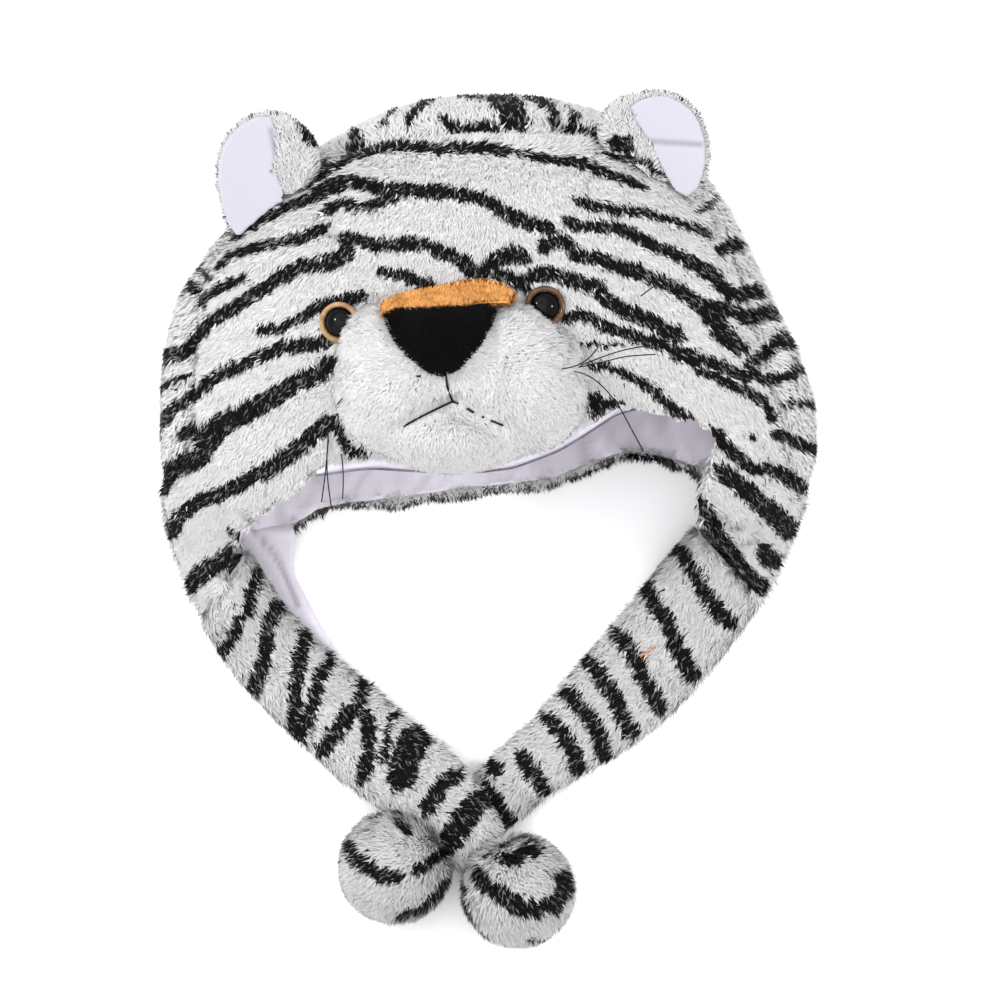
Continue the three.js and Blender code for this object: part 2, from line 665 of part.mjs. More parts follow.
// What lies on the crown's side of a strap seam.
function crownSide(seam) {
  const [a, b] = seam[0].y < seam[1].y ? seam : [...seam].reverse();
  const along = b.clone().sub(a).normalize();
  const far = [a.clone().addScaledVector(along, -REACH / 4), b.clone().addScaledVector(along, REACH / 4)];
  const up = new THREE.Vector2(-along.y, along.x);
  if (up.dot(new THREE.Vector2(-a.x, 0)) > 0) up.negate();
  if (up.y < 0 && Math.abs(along.y) < Math.abs(along.x)) up.negate();
  const near = far.map((p) => p.clone().addScaledVector(up, -SEAM_GAP));
  const away = far.map((p) => p.clone().addScaledVector(up, REACH / 2));
  return prism(anticlockwise([near[0], near[1], away[1], away[0]]), -REACH, REACH);
}

const leftStrap = strap('left', 0).subtract(crownSide(leftStrapSeam))
  .subtract(ball('right', SEAT_GAP));
const rightStrap = strap('right', 0).subtract(crownSide(rightStrapSeam))
  .subtract(ball('left', SEAT_GAP)).subtract(strap('left', SEAT_GAP));
const leftBall = ball('left', 0).subtract(strap('left', SEAT_GAP));
const rightBall = ball('right', 0);
const flapLining = prism(
  anticlockwise(smoothLoop(FLAP_LINING_OUTLINE.map(place), ROUND_SIDES)),
  0, FLAP_LINING_THICKNESS,
).subtract(strap('left', SEAT_GAP)).subtract(crownSide(leftStrapSeam));

// The scene

function node(name, body, colour, roughness) {
  const { numProp, vertProperties, triVerts } = body.getMesh();
  const points = [];
  for (let i = 0; i < vertProperties.length; i += numProp) {
    points.push(vertProperties[i], vertProperties[i + 1], vertProperties[i + 2]);
  }
  const geometry = new THREE.BufferGeometry();
  geometry.setAttribute('position', new THREE.Float32BufferAttribute(points, 3));
  geometry.setIndex([...triVerts]);
  geometry.computeVertexNormals();
  const material = new THREE.MeshStandardMaterial({ color: colour, roughness, metalness: 0 });
  const mesh = new THREE.Mesh(geometry, material);
  mesh.name = name;
  return mesh;
}

const FUR_WHITE = 0xe6e5e3;
const FUR_BLACK = 0x0c0c0d;
const FUR_ORANGE = 0xdc9446;
const LILAC = 0xeceaf6;
const LINING_LILAC = 0xc8c4d4;
const RING_TAN = 0xb08a5c;
const PUPIL_BLACK = 0x050505;

const hat = new THREE.Group();
const crownGroup = new THREE.Group();
const faceGroup = new THREE.Group();
const strapGroup = new THREE.Group();
hat.add(crownGroup, faceGroup, strapGroup);

crownGroup.add(
  node('back_panel', backPanel, FUR_WHITE, 0.95),
  node('forehead_panel', foreheadPanel, FUR_WHITE, 0.95),
  node('side_panel_left', leftPanel, FUR_WHITE, 0.95),
  node('side_panel_right', rightPanel, FUR_WHITE, 0.95),
  node('lining', lining, LINING_LILAC, 0.85),
);
for (const ear of EARS) {
  const { whole, inner } = earParts(ear);
  crownGroup.add(
    node(`ear_${ear.name}`, whole, FUR_WHITE, 0.95),
    node(`ear_inner_${ear.name}`, inner, LILAC, 0.8),
  );
}
faceGroup.add(
  node('muzzle', muzzle, FUR_WHITE, 0.95),
  node('chin', chin, FUR_WHITE, 0.95),
  node('nose', nose, FUR_BLACK, 0.9),
  node('nose_band', noseBand, FUR_ORANGE, 0.95),
);
for (const eye of EYES) {
  const at = onMuzzle(eye.at);
  faceGroup.add(
    node(`eye_ring_${eye.name}`, setOnFace(turned(ringProfile), at), RING_TAN, 0.2),
    node(`pupil_${eye.name}`, setOnFace(turned(pupilProfile), at), PUPIL_BLACK, 0.1),
  );
}
strapGroup.add(
  node('strap_left', leftStrap, FUR_WHITE, 0.95),
  node('strap_right', rightStrap, FUR_WHITE, 0.95),
  node('ball_left', leftBall, FUR_WHITE, 0.95),
  node('ball_right', rightBall, FUR_WHITE, 0.95),
  node('flap_lining_left', flapLining, LINING_LILAC, 0.85),
);

export default hat;
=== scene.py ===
# A striped plush animal hat, lying on its back, face up, with its two straps crossed below it.
# Metres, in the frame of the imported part. X runs across the face, Y towards the crown, Z up.
import math

import bmesh
import bpy
import numpy as np
from mathutils import Matrix, Vector
from mathutils.bvhtree import BVHTree


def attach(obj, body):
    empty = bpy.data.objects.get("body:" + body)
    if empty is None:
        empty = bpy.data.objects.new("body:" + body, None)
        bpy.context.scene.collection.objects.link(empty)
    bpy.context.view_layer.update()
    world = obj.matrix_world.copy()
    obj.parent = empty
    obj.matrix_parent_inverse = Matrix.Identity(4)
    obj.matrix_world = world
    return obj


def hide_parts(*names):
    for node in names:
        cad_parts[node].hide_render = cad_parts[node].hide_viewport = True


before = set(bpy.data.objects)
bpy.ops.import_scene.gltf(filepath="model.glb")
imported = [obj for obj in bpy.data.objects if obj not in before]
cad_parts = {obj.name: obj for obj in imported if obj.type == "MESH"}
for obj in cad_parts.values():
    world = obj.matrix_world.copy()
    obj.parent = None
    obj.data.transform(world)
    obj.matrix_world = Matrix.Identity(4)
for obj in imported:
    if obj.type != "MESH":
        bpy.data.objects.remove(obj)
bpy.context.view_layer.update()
scene = bpy.context.scene

MM = 0.001

# The dye chart of the pile is drawn flat, in chart units, from a corner above and left of the hat.
CHART_UNIT = 0.42 * MM
CHART_MIDDLE = (490.0, 290.0)


def on_hat(across, down):
    """The place on the hat of a spot on the dye chart."""
    return ((across - CHART_MIDDLE[0]) * CHART_UNIT, (CHART_MIDDLE[1] - down) * CHART_UNIT)


def on_chart(points):
    """The spots on the dye chart under some places on the hat."""
    across = CHART_MIDDLE[0] + points[:, 0] / CHART_UNIT
    down = CHART_MIDDLE[1] - points[:, 1] / CHART_UNIT
    return np.stack([across, down], axis=1)


# Black stripes: width at the start, width at the end, then the line that the stripe follows.
LEFT_CHEEK_STRIPES = [
    (7, 9, [(232, 240), (258, 223), (288, 208), (319, 198), (347, 185), (362, 181)]),
    (4, 4, [(217, 213), (232, 228)]),
    (3, 4, [(222, 231), (235, 236)]),
    (6, 9, [(217, 269), (232, 256), (268, 246), (303, 239), (330, 227)]),
    (7, 8, [(198, 307), (219, 290), (249, 276)]),
    (9, 12, [(192, 346), (207, 325), (245, 302), (283, 277), (303, 267), (329, 264), (347, 254),
             (352, 240)]),
    (7, 10, [(255, 332), (283, 328), (303, 318), (324, 305), (342, 302), (370, 295)]),
    (9, 10, [(189, 401), (214, 379), (245, 364), (283, 348), (331, 343)]),
    (18, 12, [(199, 450), (219, 427), (258, 407), (296, 384), (324, 371), (336, 357)]),
    (10, 13, [(171, 538), (180, 515), (197, 502), (235, 487), (268, 470), (300, 447),
              (336, 417)]),
    (12, 14, [(182, 592), (202, 572), (239, 550)]),
    (8, 7, [(337, 425), (350, 451), (370, 454)]),
]
LEFT_REAR_STRIPES = [
    (5, 5, [(184, 273), (196, 267), (213, 280)]),
    (6, 6, [(176, 291), (189, 284), (201, 296)]),
    (12, 10, [(157, 359), (175, 355), (196, 348)]),
    (4, 5, [(150, 401), (168, 384), (193, 375)]),
    (9, 7, [(150, 443), (161, 422), (176, 407), (193, 398)]),
    (7, 9, [(176, 437), (200, 429)]),
    (13, 12, [(157, 495), (168, 472), (199, 458), (211, 447)]),
]
FOREHEAD_STRIPES = [
    (7, 9, [(286, 190), (309, 185), (324, 175), (349, 159), (370, 152), (388, 146), (436, 150),
            (487, 149), (510, 153)]),
    (5, 9, [(508, 152), (530, 157), (551, 161), (580, 164), (590, 168)]),
    (8, 6, [(588, 167), (596, 172), (618, 178), (646, 190)]),
    (6, 5, [(326, 160), (318, 182)]),
    (9, 10, [(354, 129), (357, 144), (347, 157)]),
    (11, 11, [(312, 196), (334, 185), (352, 182), (385, 190), (436, 193), (474, 198), (492, 205),
              (513, 218), (555, 232)]),
    (9, 8, [(322, 214), (342, 205), (367, 208), (400, 198)]),
    (10, 12, [(337, 239), (352, 239), (375, 246), (411, 244), (436, 249), (457, 259),
              (474, 272), (482, 277), (492, 262), (513, 254), (530, 261)]),
    (9, 10, [(378, 271), (406, 277), (423, 284), (438, 288)]),
    (9, 10, [(480, 271), (508, 277), (532, 291)]),
]
CROWN_TOP_STRIPES = [
    (3, 3, [(378, 130), (381, 126), (397, 107)]),
    (6, 6, [(408, 128), (412, 117), (422, 103), (437, 96)]),
    (4, 5, [(453, 92), (470, 97), (490, 98)]),
    (6, 7, [(441, 117), (452, 126), (468, 129), (489, 127), (502, 129)]),
    (7, 7, [(522, 93), (537, 99), (549, 105), (554, 116), (556, 131)]),
    (5, 5, [(569, 108), (576, 117), (569, 124)]),
]
RIGHT_CHEEK_STRIPES = [
    (5, 10, [(563, 130), (580, 127), (590, 131), (604, 144), (612, 147), (628, 144)]),
    (6, 6, [(603, 155), (624, 158), (644, 162), (655, 168), (667, 177)]),
    (4, 4, [(674, 184), (685, 191)]),
    (9, 6, [(575, 201), (590, 206), (610, 209), (631, 213), (651, 215), (671, 221), (697, 229),
            (712, 240)]),
    (10, 12, [(562, 220), (577, 226), (604, 229), (624, 231), (637, 239), (657, 249),
              (684, 259), (704, 271), (729, 294), (737, 297), (754, 291), (764, 296)]),
    (11, 12, [(539, 251), (550, 243), (564, 243), (574, 254), (593, 259), (617, 267), (644, 276),
              (679, 291), (698, 305), (730, 311), (747, 319), (768, 313), (778, 320)]),
    (11, 13, [(512, 285), (529, 278), (546, 273), (561, 278), (574, 281), (593, 287), (611, 303),
              (631, 314), (649, 321), (665, 332), (684, 339)]),
    (9, 10, [(563, 321), (579, 314), (592, 319), (605, 327), (624, 333), (649, 341), (668, 347),
             (688, 355), (707, 362), (726, 369), (751, 382)]),
    (8, 8, [(670, 357), (688, 360), (700, 370), (719, 379), (739, 389), (762, 400), (774, 424)]),
    (4, 4, [(582, 344), (593, 343), (603, 347), (623, 344)]),
    (7, 8, [(587, 367), (602, 366), (620, 372), (631, 378), (649, 388), (665, 402), (675, 412),
            (692, 417)]),
    (9, 8, [(594, 404), (622, 402)]),
]
RIGHT_REAR_STRIPES = [
    (6, 5, [(695, 213), (711, 205), (716, 198)]),
    (8, 13, [(713, 251), (724, 249), (735, 246), (743, 244)]),
    (13, 12, [(747, 362), (762, 356), (781, 339), (797, 347)]),
    (9, 10, [(744, 362), (757, 379), (776, 381), (805, 367)]),
    (6, 7, [(779, 407), (797, 403), (824, 409)]),
    (11, 12, [(771, 431), (797, 443), (820, 452)]),
    (10, 10, [(748, 437), (754, 439)]),
]
RIGHT_STRAP_STRIPES = [
    (9, 9, [(712, 429), (723, 443), (737, 457), (751, 468), (776, 471), (793, 481), (812, 492)]),
    (11, 15, [(717, 466), (736, 482), (755, 499), (773, 514), (795, 534)]),
    (12, 12, [(760, 543), (768, 558), (782, 564)]),
    (10, 12, [(693, 498), (706, 512), (717, 532), (732, 555), (745, 573), (767, 592)]),
    (9, 10, [(670, 548), (686, 554), (695, 573), (704, 590), (717, 609), (736, 627)]),
    (11, 12, [(643, 581), (657, 606), (671, 627), (681, 654), (696, 684)]),
    (10, 11, [(614, 629), (633, 654), (647, 682), (662, 715)]),
    (10, 11, [(585, 657), (602, 678), (619, 706), (634, 739)]),
    (10, 11, [(562, 688), (582, 709), (599, 733), (607, 763)]),
    (10, 11, [(543, 715), (564, 737), (575, 757), (580, 777)]),
    (10, 11, [(518, 753), (533, 775), (548, 797)]),
    (9, 9, [(483, 781), (499, 806), (517, 832)]),
    (9, 10, [(492, 757), (495, 780)]),
]
LEFT_STRAP_STRIPES = [
    (4, 5, [(229, 529), (238, 536), (249, 541)]),
    (8, 9, [(258, 566), (244, 613), (230, 640), (215, 663)]),
    (10, 11, [(283, 598), (268, 623), (264, 658), (254, 689), (250, 698)]),
    (10, 11, [(307, 629), (299, 654), (295, 695), (292, 723), (303, 742)]),
    (9, 10, [(332, 653), (319, 678), (309, 713), (301, 739)]),
    (11, 12, [(365, 677), (357, 706), (337, 730), (320, 756)]),
    (10, 11, [(357, 704), (368, 723), (368, 757), (360, 784)]),
    (6, 6, [(403, 705), (388, 723), (388, 747), (382, 766)]),
    (22, 20, [(419, 730), (405, 764), (398, 790)]),
    (11, 12, [(461, 770), (440, 788), (425, 815)]),
    (17, 17, [(486, 794), (467, 816), (447, 844), (429, 862)]),
]
LEFT_BALL_STRIPES = [
    (11, 12, [(348, 841), (355, 859), (372, 870), (387, 878), (402, 876)]),
    (10, 9, [(411, 874), (429, 863), (450, 850)]),
    (8, 8, [(446, 879), (435, 897), (416, 912), (394, 919)]),
    (8, 9, [(396, 821), (412, 837)]),
    (12, 11, [(393, 814), (406, 804)]),
    (3, 3, [(366, 820), (377, 819)]),
    (2, 2, [(452, 863), (453, 885), (454, 907)]),
]
RIGHT_BALL_STRIPES = [
    (14, 16, [(476, 870), (486, 885), (501, 895), (522, 909), (537, 910), (554, 904), (564, 889),
              (562, 871)]),
    (7, 7, [(462, 882), (462, 900), (469, 922), (479, 935), (491, 944)]),
    (11, 11, [(498, 860), (515, 861), (527, 850), (539, 856)]),
    (3, 3, [(512, 839), (528, 839), (547, 852)]),
    (3, 3, [(526, 941), (552, 940), (564, 928)]),
    (2, 2, [(481, 861), (496, 851), (510, 842)]),
]
# Stripes of the back of the head, which lies on the table: one half, mirrored in the middle.
BACK_STRIPES = [
    (6, 11, [(494, 150), (540, 138), (590, 150), (640, 180)]),
    (7, 11, [(498, 200), (550, 182), (610, 190), (680, 228)]),
    (6, 12, [(496, 246), (560, 226), (620, 236), (700, 272)]),
    (7, 12, [(500, 292), (570, 272), (650, 290), (735, 330)]),
    (6, 12, [(496, 340), (560, 322), (640, 336), (745, 386)]),
    (7, 12, [(500, 388), (580, 368), (670, 390), (750, 436)]),
    (7, 12, [(498, 436), (560, 420), (640, 438), (730, 486)]),
    (7, 11, [(500, 482), (570, 466), (640, 486), (700, 520)]),
]

# Solid black patches of the chart, by their corners.
BLACK_PATCHES = [
    [(482, 97), (494, 92), (513, 91), (521, 101), (529, 118), (526, 131), (504, 132), (497, 113)],
    [(692, 304), (704, 300), (718, 308), (730, 325), (737, 338), (751, 346), (747, 356),
     (735, 357), (723, 349), (712, 339), (701, 324)],
    [(583, 395), (598, 392), (607, 400), (604, 417), (592, 419)],
]
EAR_BACK_STRIPES = [
    (5, 6, [(316, 180), (335, 165), (347, 149)]),
    (18, 14, [(303, 127), (318, 133), (322, 148)]),
    (12, 13, [(607, 143), (622, 146), (633, 150)]),
    (5, 5, [(603, 156), (644, 163), (667, 178)]),
]

# The back's opening edge: the dark hairs of its fringe, and the edge itself.
FRINGE_STRIPES = [
    (3, 3, [(303, 528), (312, 521)]),
    (2, 2, [(430, 497), (436, 496)]),
    (2, 3, [(462, 494), (468, 492)]),
    (3, 3, [(625, 454), (645, 456), (669, 459)]),
    (2, 3, [(692, 463), (703, 467)]),
]
BACK_EDGE = [(297, 527), (311, 516), (333, 510), (379, 502),
             (468, 491), (551, 482), (623, 456), (685, 465), (706, 468)]


def spread(stripes, times):
    """Stripes as the dye spreads into the pile: wider than their charted lines."""
    return [(start * times, end * times, line) for start, end, line in stripes]


RIGHT_STRAP_DYE = spread(RIGHT_STRAP_STRIPES, 1.6)
LEFT_STRAP_DYE = spread(LEFT_STRAP_STRIPES, 1.5)
FACE_CHART = (
    spread(LEFT_CHEEK_STRIPES, 1.45) + spread(LEFT_REAR_STRIPES, 1.65)
    + spread(FOREHEAD_STRIPES, 1.36) + spread(CROWN_TOP_STRIPES, 1.55)
    + spread(RIGHT_CHEEK_STRIPES, 1.32) + spread(RIGHT_REAR_STRIPES, 1.2)
    + RIGHT_STRAP_DYE[:5] + LEFT_STRAP_DYE[:2]
)


# Soft noise and dye

DRIFT_WAVES = 7
DRIFT_HEIGHT = 3.7


def drift(points, size, seed):
    """A slow, smooth, random height over places in space, from -1 to 1, waves about size long."""
    rng = np.random.default_rng(seed)
    total = np.zeros(len(points))
    for _ in range(DRIFT_WAVES):
        way = rng.normal(size=3)
        way *= 2 * math.pi / (size * np.linalg.norm(way)) * rng.uniform(0.6, 1.7)
        total += np.sin(points @ way + rng.uniform(0, 2 * math.pi))
    return total / DRIFT_HEIGHT


def ease(value, start, end):
    """0 before start, 1 after end, and smooth between them."""
    share = np.clip((value - start) / (end - start), 0, 1)
    return share * share * (3 - 2 * share)


def lengths_along(line):
    """How long the legs of a line are, and how far along the line each of its spots is."""
    legs = np.linalg.norm(np.diff(line, axis=0), axis=1)
    return legs, np.concatenate([[0], np.cumsum(legs)])


# A place far from any stripe, and how long a stripe's end tapers, in chart units.
FAR_OFF = 1e3
TAPER = 5


def beside_stripe(spots, start_width, end_width, line):
    """How far each spot is outside a stripe's tapering edge, in chart units."""
    line = np.array(line, float)
    legs, along = lengths_along(line)
    best = np.full(len(spots), FAR_OFF)
    for n, leg in enumerate(legs):
        step = line[n + 1] - line[n]
        t = np.clip((spots - line[n]) @ step / leg ** 2, 0, 1)
        off = np.linalg.norm(spots - line[n] - t[:, None] * step, axis=1)
        share = (along[n] + t * leg) / along[-1]
        width = start_width + share * (end_width - start_width)
        taper = np.sqrt(np.clip(np.minimum(share, 1 - share) * along[-1] / TAPER, 0.1, 1))
        best = np.minimum(best, off - width / 2 * taper)
    return best


def inside_patch(spots, corners):
    """How far each spot is outside a patch, in chart units, below 0 inside it."""
    corners = np.array(corners, float)
    best = np.full(len(spots), FAR_OFF)
    inside = np.zeros(len(spots), bool)
    for a, b in zip(corners, np.roll(corners, -1, axis=0)):
        step = b - a
        t = np.clip((spots - a) @ step / (step @ step), 0, 1)
        best = np.minimum(best, np.linalg.norm(spots - a - t[:, None] * step, axis=1))
        rises = (a[1] > spots[:, 1]) != (b[1] > spots[:, 1])
        crossing = a[0] + (spots[:, 1] - a[1]) * step[0] / (step[1] if step[1] else 1e-9)
        inside ^= rises & (spots[:, 0] < crossing)
    return np.where(inside, -best, best)


# How far round a stripe's line its dye is looked for, in chart units.
DYE_MARGIN = 16
# The share of locks that stray far over a stripe's edge, and of black locks that are paler.
STRAY_SHARE = 0.14
PALE_SHARE = 0.12
PALE = 0.74


def dyed(points, stripes, patches=(), ragged=1.0, seed=0):
    """How black the pile is at some places: 0 is white, 1 is black."""
    spots = on_chart(points)
    rng = np.random.default_rng(seed)
    edge = np.full(len(points), FAR_OFF)
    for start_width, end_width, line in stripes:
        low = np.min(line, axis=0) - DYE_MARGIN
        high = np.max(line, axis=0) + DYE_MARGIN
        near = np.nonzero(((spots > low) & (spots < high)).all(axis=1))[0]
        if len(near):
            beside = beside_stripe(spots[near], start_width, end_width, line)
            edge[near] = np.minimum(edge[near], beside)
    for corners in patches:
        edge = np.minimum(edge, inside_patch(spots, corners))
    wander = 1.5 * drift(points, 6 * MM, seed + 3) + 1.1 * drift(points, 2.4 * MM, seed + 4)
    strays = np.where(rng.random(len(points)) < STRAY_SHARE, 3.0, 0.8)
    edge = edge + ragged * (wander + strays * rng.normal(0, 1, len(points)))
    pale = np.where(rng.random(len(points)) < PALE_SHARE, PALE, 1.0)
    return ease(-edge, -0.7, 0.7) * pale


# Meshes: opened, put back, and made into pieces

MERGED = 1e-6


def opened(*meshes):
    """Some meshes, joined and open for work."""
    bm = bmesh.new()
    for mesh in meshes:
        bm.from_mesh(mesh)
    return bm


def put_back(bm, mesh):
    bm.to_mesh(mesh)
    bm.free()
    mesh.update()


def new_piece(bm, name):
    """A piece of the hat from an open mesh."""
    mesh = bpy.data.meshes.new(name)
    put_back(bm, mesh)
    piece = bpy.data.objects.new(name, mesh)
    scene.collection.objects.link(piece)
    return piece


def shade_round(faces):
    for face in faces:
        face.smooth = True


def relax(bm, verts, rounds, factor=0.5):
    for _ in range(rounds):
        bmesh.ops.smooth_vert(bm, verts=verts, factor=factor,
                              use_axis_x=True, use_axis_y=True, use_axis_z=True)


def rows_of(parts, what):
    """Three numbers of each vertex or face, in rows."""
    rows = np.empty(len(parts) * 3)
    parts.foreach_get(what, rows)
    return rows.reshape(-1, 3)


def places_of(mesh):
    return rows_of(mesh.vertices, "co")


def facings_of(mesh):
    return rows_of(mesh.vertices, "normal")


def move_to(mesh, points):
    mesh.vertices.foreach_set("co", np.ascontiguousarray(points, dtype=np.float32).ravel())
    mesh.update()


def unit(vectors):
    return vectors / np.maximum(np.linalg.norm(vectors, axis=-1, keepdims=True), 1e-12)


def packed(nodes):
    """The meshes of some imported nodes."""
    return [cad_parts[node].data for node in nodes]


def outside_of(*meshes):
    """The outside of some meshes, for laying things on it or measuring from it."""
    bm = opened(*meshes)
    tree = BVHTree.FromBMesh(bm)
    bm.free()
    return tree


# Skins: an even, rounded copy of a sewn solid, which carries the pile

def merged_copy(nodes, name):
    """One mesh of some nodes' solids, with their doubled corners merged."""
    bm = opened(*packed(nodes))
    bmesh.ops.remove_doubles(bm, verts=bm.verts, dist=MERGED)
    return new_piece(bm, name)


def skin_of(nodes, name, voxel, rounds=3):
    """A fine copy of some nodes' solids with their facets softened away."""
    piece = merged_copy(nodes, name)
    remesh = piece.modifiers.new("even", "REMESH")
    remesh.mode = "VOXEL"
    remesh.voxel_size = voxel
    ready = bpy.context.evaluated_depsgraph_get()
    even = bpy.data.meshes.new_from_object(piece.evaluated_get(ready))
    piece.modifiers.clear()
    piece.data = even
    even.name = name
    keep_largest(piece)
    soften(piece, rounds)
    return piece


def keep_largest(piece):
    """Leaves out the small bubbles that remeshing closes inside a skin."""
    bm = opened(piece.data)
    left = set(bm.verts)
    groups = []
    while left:
        group = [left.pop()]
        for vert in group:
            for edge in vert.link_edges:
                other = edge.other_vert(vert)
                if other in left:
                    left.discard(other)
                    group.append(other)
        groups.append(group)
    groups.sort(key=len)
    small = [vert for group in groups[:-1] for vert in group]
    bmesh.ops.delete(bm, geom=small, context="VERTS")
    put_back(bm, piece.data)


def soften(piece, rounds):
    bm = opened(piece.data)
    relax(bm, bm.verts, rounds)
    put_back(bm, piece.data)


# Half the crown's height and its middle, by place along the head, in millimetres.
CROWN_Y = [-168, -143, -126, -101, -88, -67, -46, -25, 0, 34, 61, 71, 77, 81, 83]
CROWN_HIGH = [26, 32, 41, 67, 82, 97, 104, 107, 108, 106, 94, 83, 70, 56, 41]


def crown_outward(points):
    """The way out of the crown's middle, which tells its outer side from the lined one."""
    high = np.interp(points[:, 1] / MM, CROWN_Y, CROWN_HIGH) * MM
    middle = high / 2
    outward = np.zeros_like(points)
    outward[:, 0] = (points[:, 0] + 4 * MM) / (132 * MM) ** 2
    outward[:, 1] = np.maximum(points[:, 1] - 45 * MM, 0) / (38 * MM) ** 2
    outward[:, 2] = (points[:, 2] - middle) / middle ** 2
    return unit(outward)


# How high a skin's lowest places and a lock's lowest points stay over the table.
SKIN_FLOOR = 0.3 * MM
LOCK_FLOOR = 0.1 * MM
# Beside a seam the skin reaches over to its neighbour: by this much more than their gap, in full
# up to the first distance from it and no more at all past the second.
SEAM_OVERLAP = 0.6 * MM
SEAM_NEAR = 3.5 * MM
SEAM_FAR = 9 * MM


def draw_in(piece, depth, outward=None, sewn_to=()):
    """Draws a skin in by the pile's height, so that the pile's tips end at the solid's surface.
    Along a seam the skin stays nearly where it is, so that the pile closes over the seam."""
    points = places_of(piece.data)
    facings = facings_of(piece.data)
    share = np.ones(len(points))
    if outward is not None:
        share = ease((facings * outward(points)).sum(axis=1), 0.0, 0.6)
    if sewn_to:
        near = outside_of(*packed(sewn_to))
        found = [near.find_nearest(Vector(p)) for p in points]
        off = np.array([hit[3] for hit in found])
        towards = unit(np.array([hit[0][:] for hit in found]) - points)
        share *= 0.2 + 0.8 * ease(off, 1.0 * MM, 7 * MM)
        reach = (off + SEAM_OVERLAP) * (1 - ease(off, SEAM_NEAR, SEAM_FAR))
        points = points + towards * reach[:, None]
    points = points - facings * (share * depth)[:, None]
    points[:, 2] = np.maximum(points[:, 2], SKIN_FLOOR)
    move_to(piece.data, points)


# Pile: short tapered locks, rooted in a skin and combed over it

def rooted(piece, count, wanted, seed):
    """Random places all over a skin, by area and by how much pile is wanted at each."""
    rng = np.random.default_rng(seed)
    mesh = piece.data
    mesh.calc_loop_triangles()
    corners = np.empty(len(mesh.loop_triangles) * 3, np.int64)
    mesh.loop_triangles.foreach_get("vertices", corners)
    corners = corners.reshape(-1, 3)
    points = places_of(mesh)
    facings = facings_of(mesh)
    middles = points[corners].mean(axis=1)
    across = np.cross(points[corners[:, 1]] - points[corners[:, 0]],
                      points[corners[:, 2]] - points[corners[:, 0]])
    area = np.linalg.norm(across, axis=1) / 2
    weight = area * wanted(middles, unit(facings[corners].mean(axis=1)))
    chosen = rng.choice(len(corners), size=count, p=weight / weight.sum())
    a = np.sqrt(rng.random(count))
    b = rng.random(count)
    mix = np.stack([1 - a, a * (1 - b), a * b], axis=1)[:, :, None]
    roots = (points[corners[chosen]] * mix).sum(axis=1)
    outward = unit((facings[corners[chosen]] * mix).sum(axis=1))
    return roots, outward


# How far a lock's foot is sunk in the skin, and the shares of its length before and after its bend.
LOCK_FOOT = 0.4 * MM
LOCK_LOWER = 0.42
LOCK_UPPER = 0.58


def locks(roots, outward, comb, length, lean, width, seed, clump=6 * MM):
    """Points of the locks: the foot, one side of the bend, the tip, the other side."""
    rng = np.random.default_rng(seed)
    count = len(roots)
    flow = comb - outward * (comb * outward).sum(axis=1, keepdims=True)
    stray = rng.normal(0, 0.14, (count, 3))
    stray += 0.30 * np.stack([drift(roots, clump, seed + n) for n in range(3)], axis=1)
    flow = unit(unit(flow) + stray - outward * (stray * outward).sum(axis=1, keepdims=True))
    side = unit(np.cross(flow, outward))
    turn = rng.normal(0, 0.35, count) + 0.45 * drift(roots, 1.6 * clump, seed + 5)
    flow = flow * np.cos(turn)[:, None] + side * np.sin(turn)[:, None]
    side = unit(np.cross(flow, outward) + 0.2 * outward * rng.normal(0, 1, (count, 1)))
    tilt = lean + rng.normal(0, 0.10, count) + 0.10 * drift(roots, clump, seed + 6)
    reach = (length * rng.uniform(0.75, 1.15, count))[:, None]
    low_tilt = np.clip(tilt - 0.25, 0.05, 1.45)[:, None]
    high_tilt = np.clip(tilt + 0.22, 0.1, 1.52)[:, None]
    bend = roots + LOCK_LOWER * reach * (outward * np.cos(low_tilt) + flow * np.sin(low_tilt))
    tip = bend + LOCK_UPPER * reach * (outward * np.cos(high_tilt) + flow * np.sin(high_tilt))
    foot = roots - LOCK_FOOT * outward
    half = (width / 2 * rng.uniform(0.7, 1.25, count))[:, None]
    points = np.stack([foot, bend + side * half, tip, bend - side * half], axis=1)
    points[:, :, 2] = np.maximum(points[:, :, 2], LOCK_FLOOR)
    return points


def pile_mesh(name, points):
    """A mesh of locks, each a kite: its foot, its widest place on both sides, and its tip."""
    count = len(points) * 4
    mesh = bpy.data.meshes.new(name)
    mesh.vertices.add(count)
    mesh.vertices.foreach_set("co", points.astype(np.float32).ravel())
    mesh.loops.add(count)
    mesh.loops.foreach_set("vertex_index", np.arange(count, dtype=np.int32))
    mesh.polygons.add(count // 4)
    mesh.polygons.foreach_set("loop_start", np.arange(0, count, 4, dtype=np.int32))
    mesh.update(calc_edges=True)
    return mesh


def note(mesh, name, values):
    """Writes a number for each point of a mesh, which its material reads."""
    layer = mesh.attributes.new(name, "FLOAT", "POINT")
    layer.data.foreach_set("value", np.ascontiguousarray(values, dtype=np.float32))


# The share of the flat layout that is used, and its margin.
LAYOUT_SPAN = 0.94
LAYOUT_MARGIN = 0.03


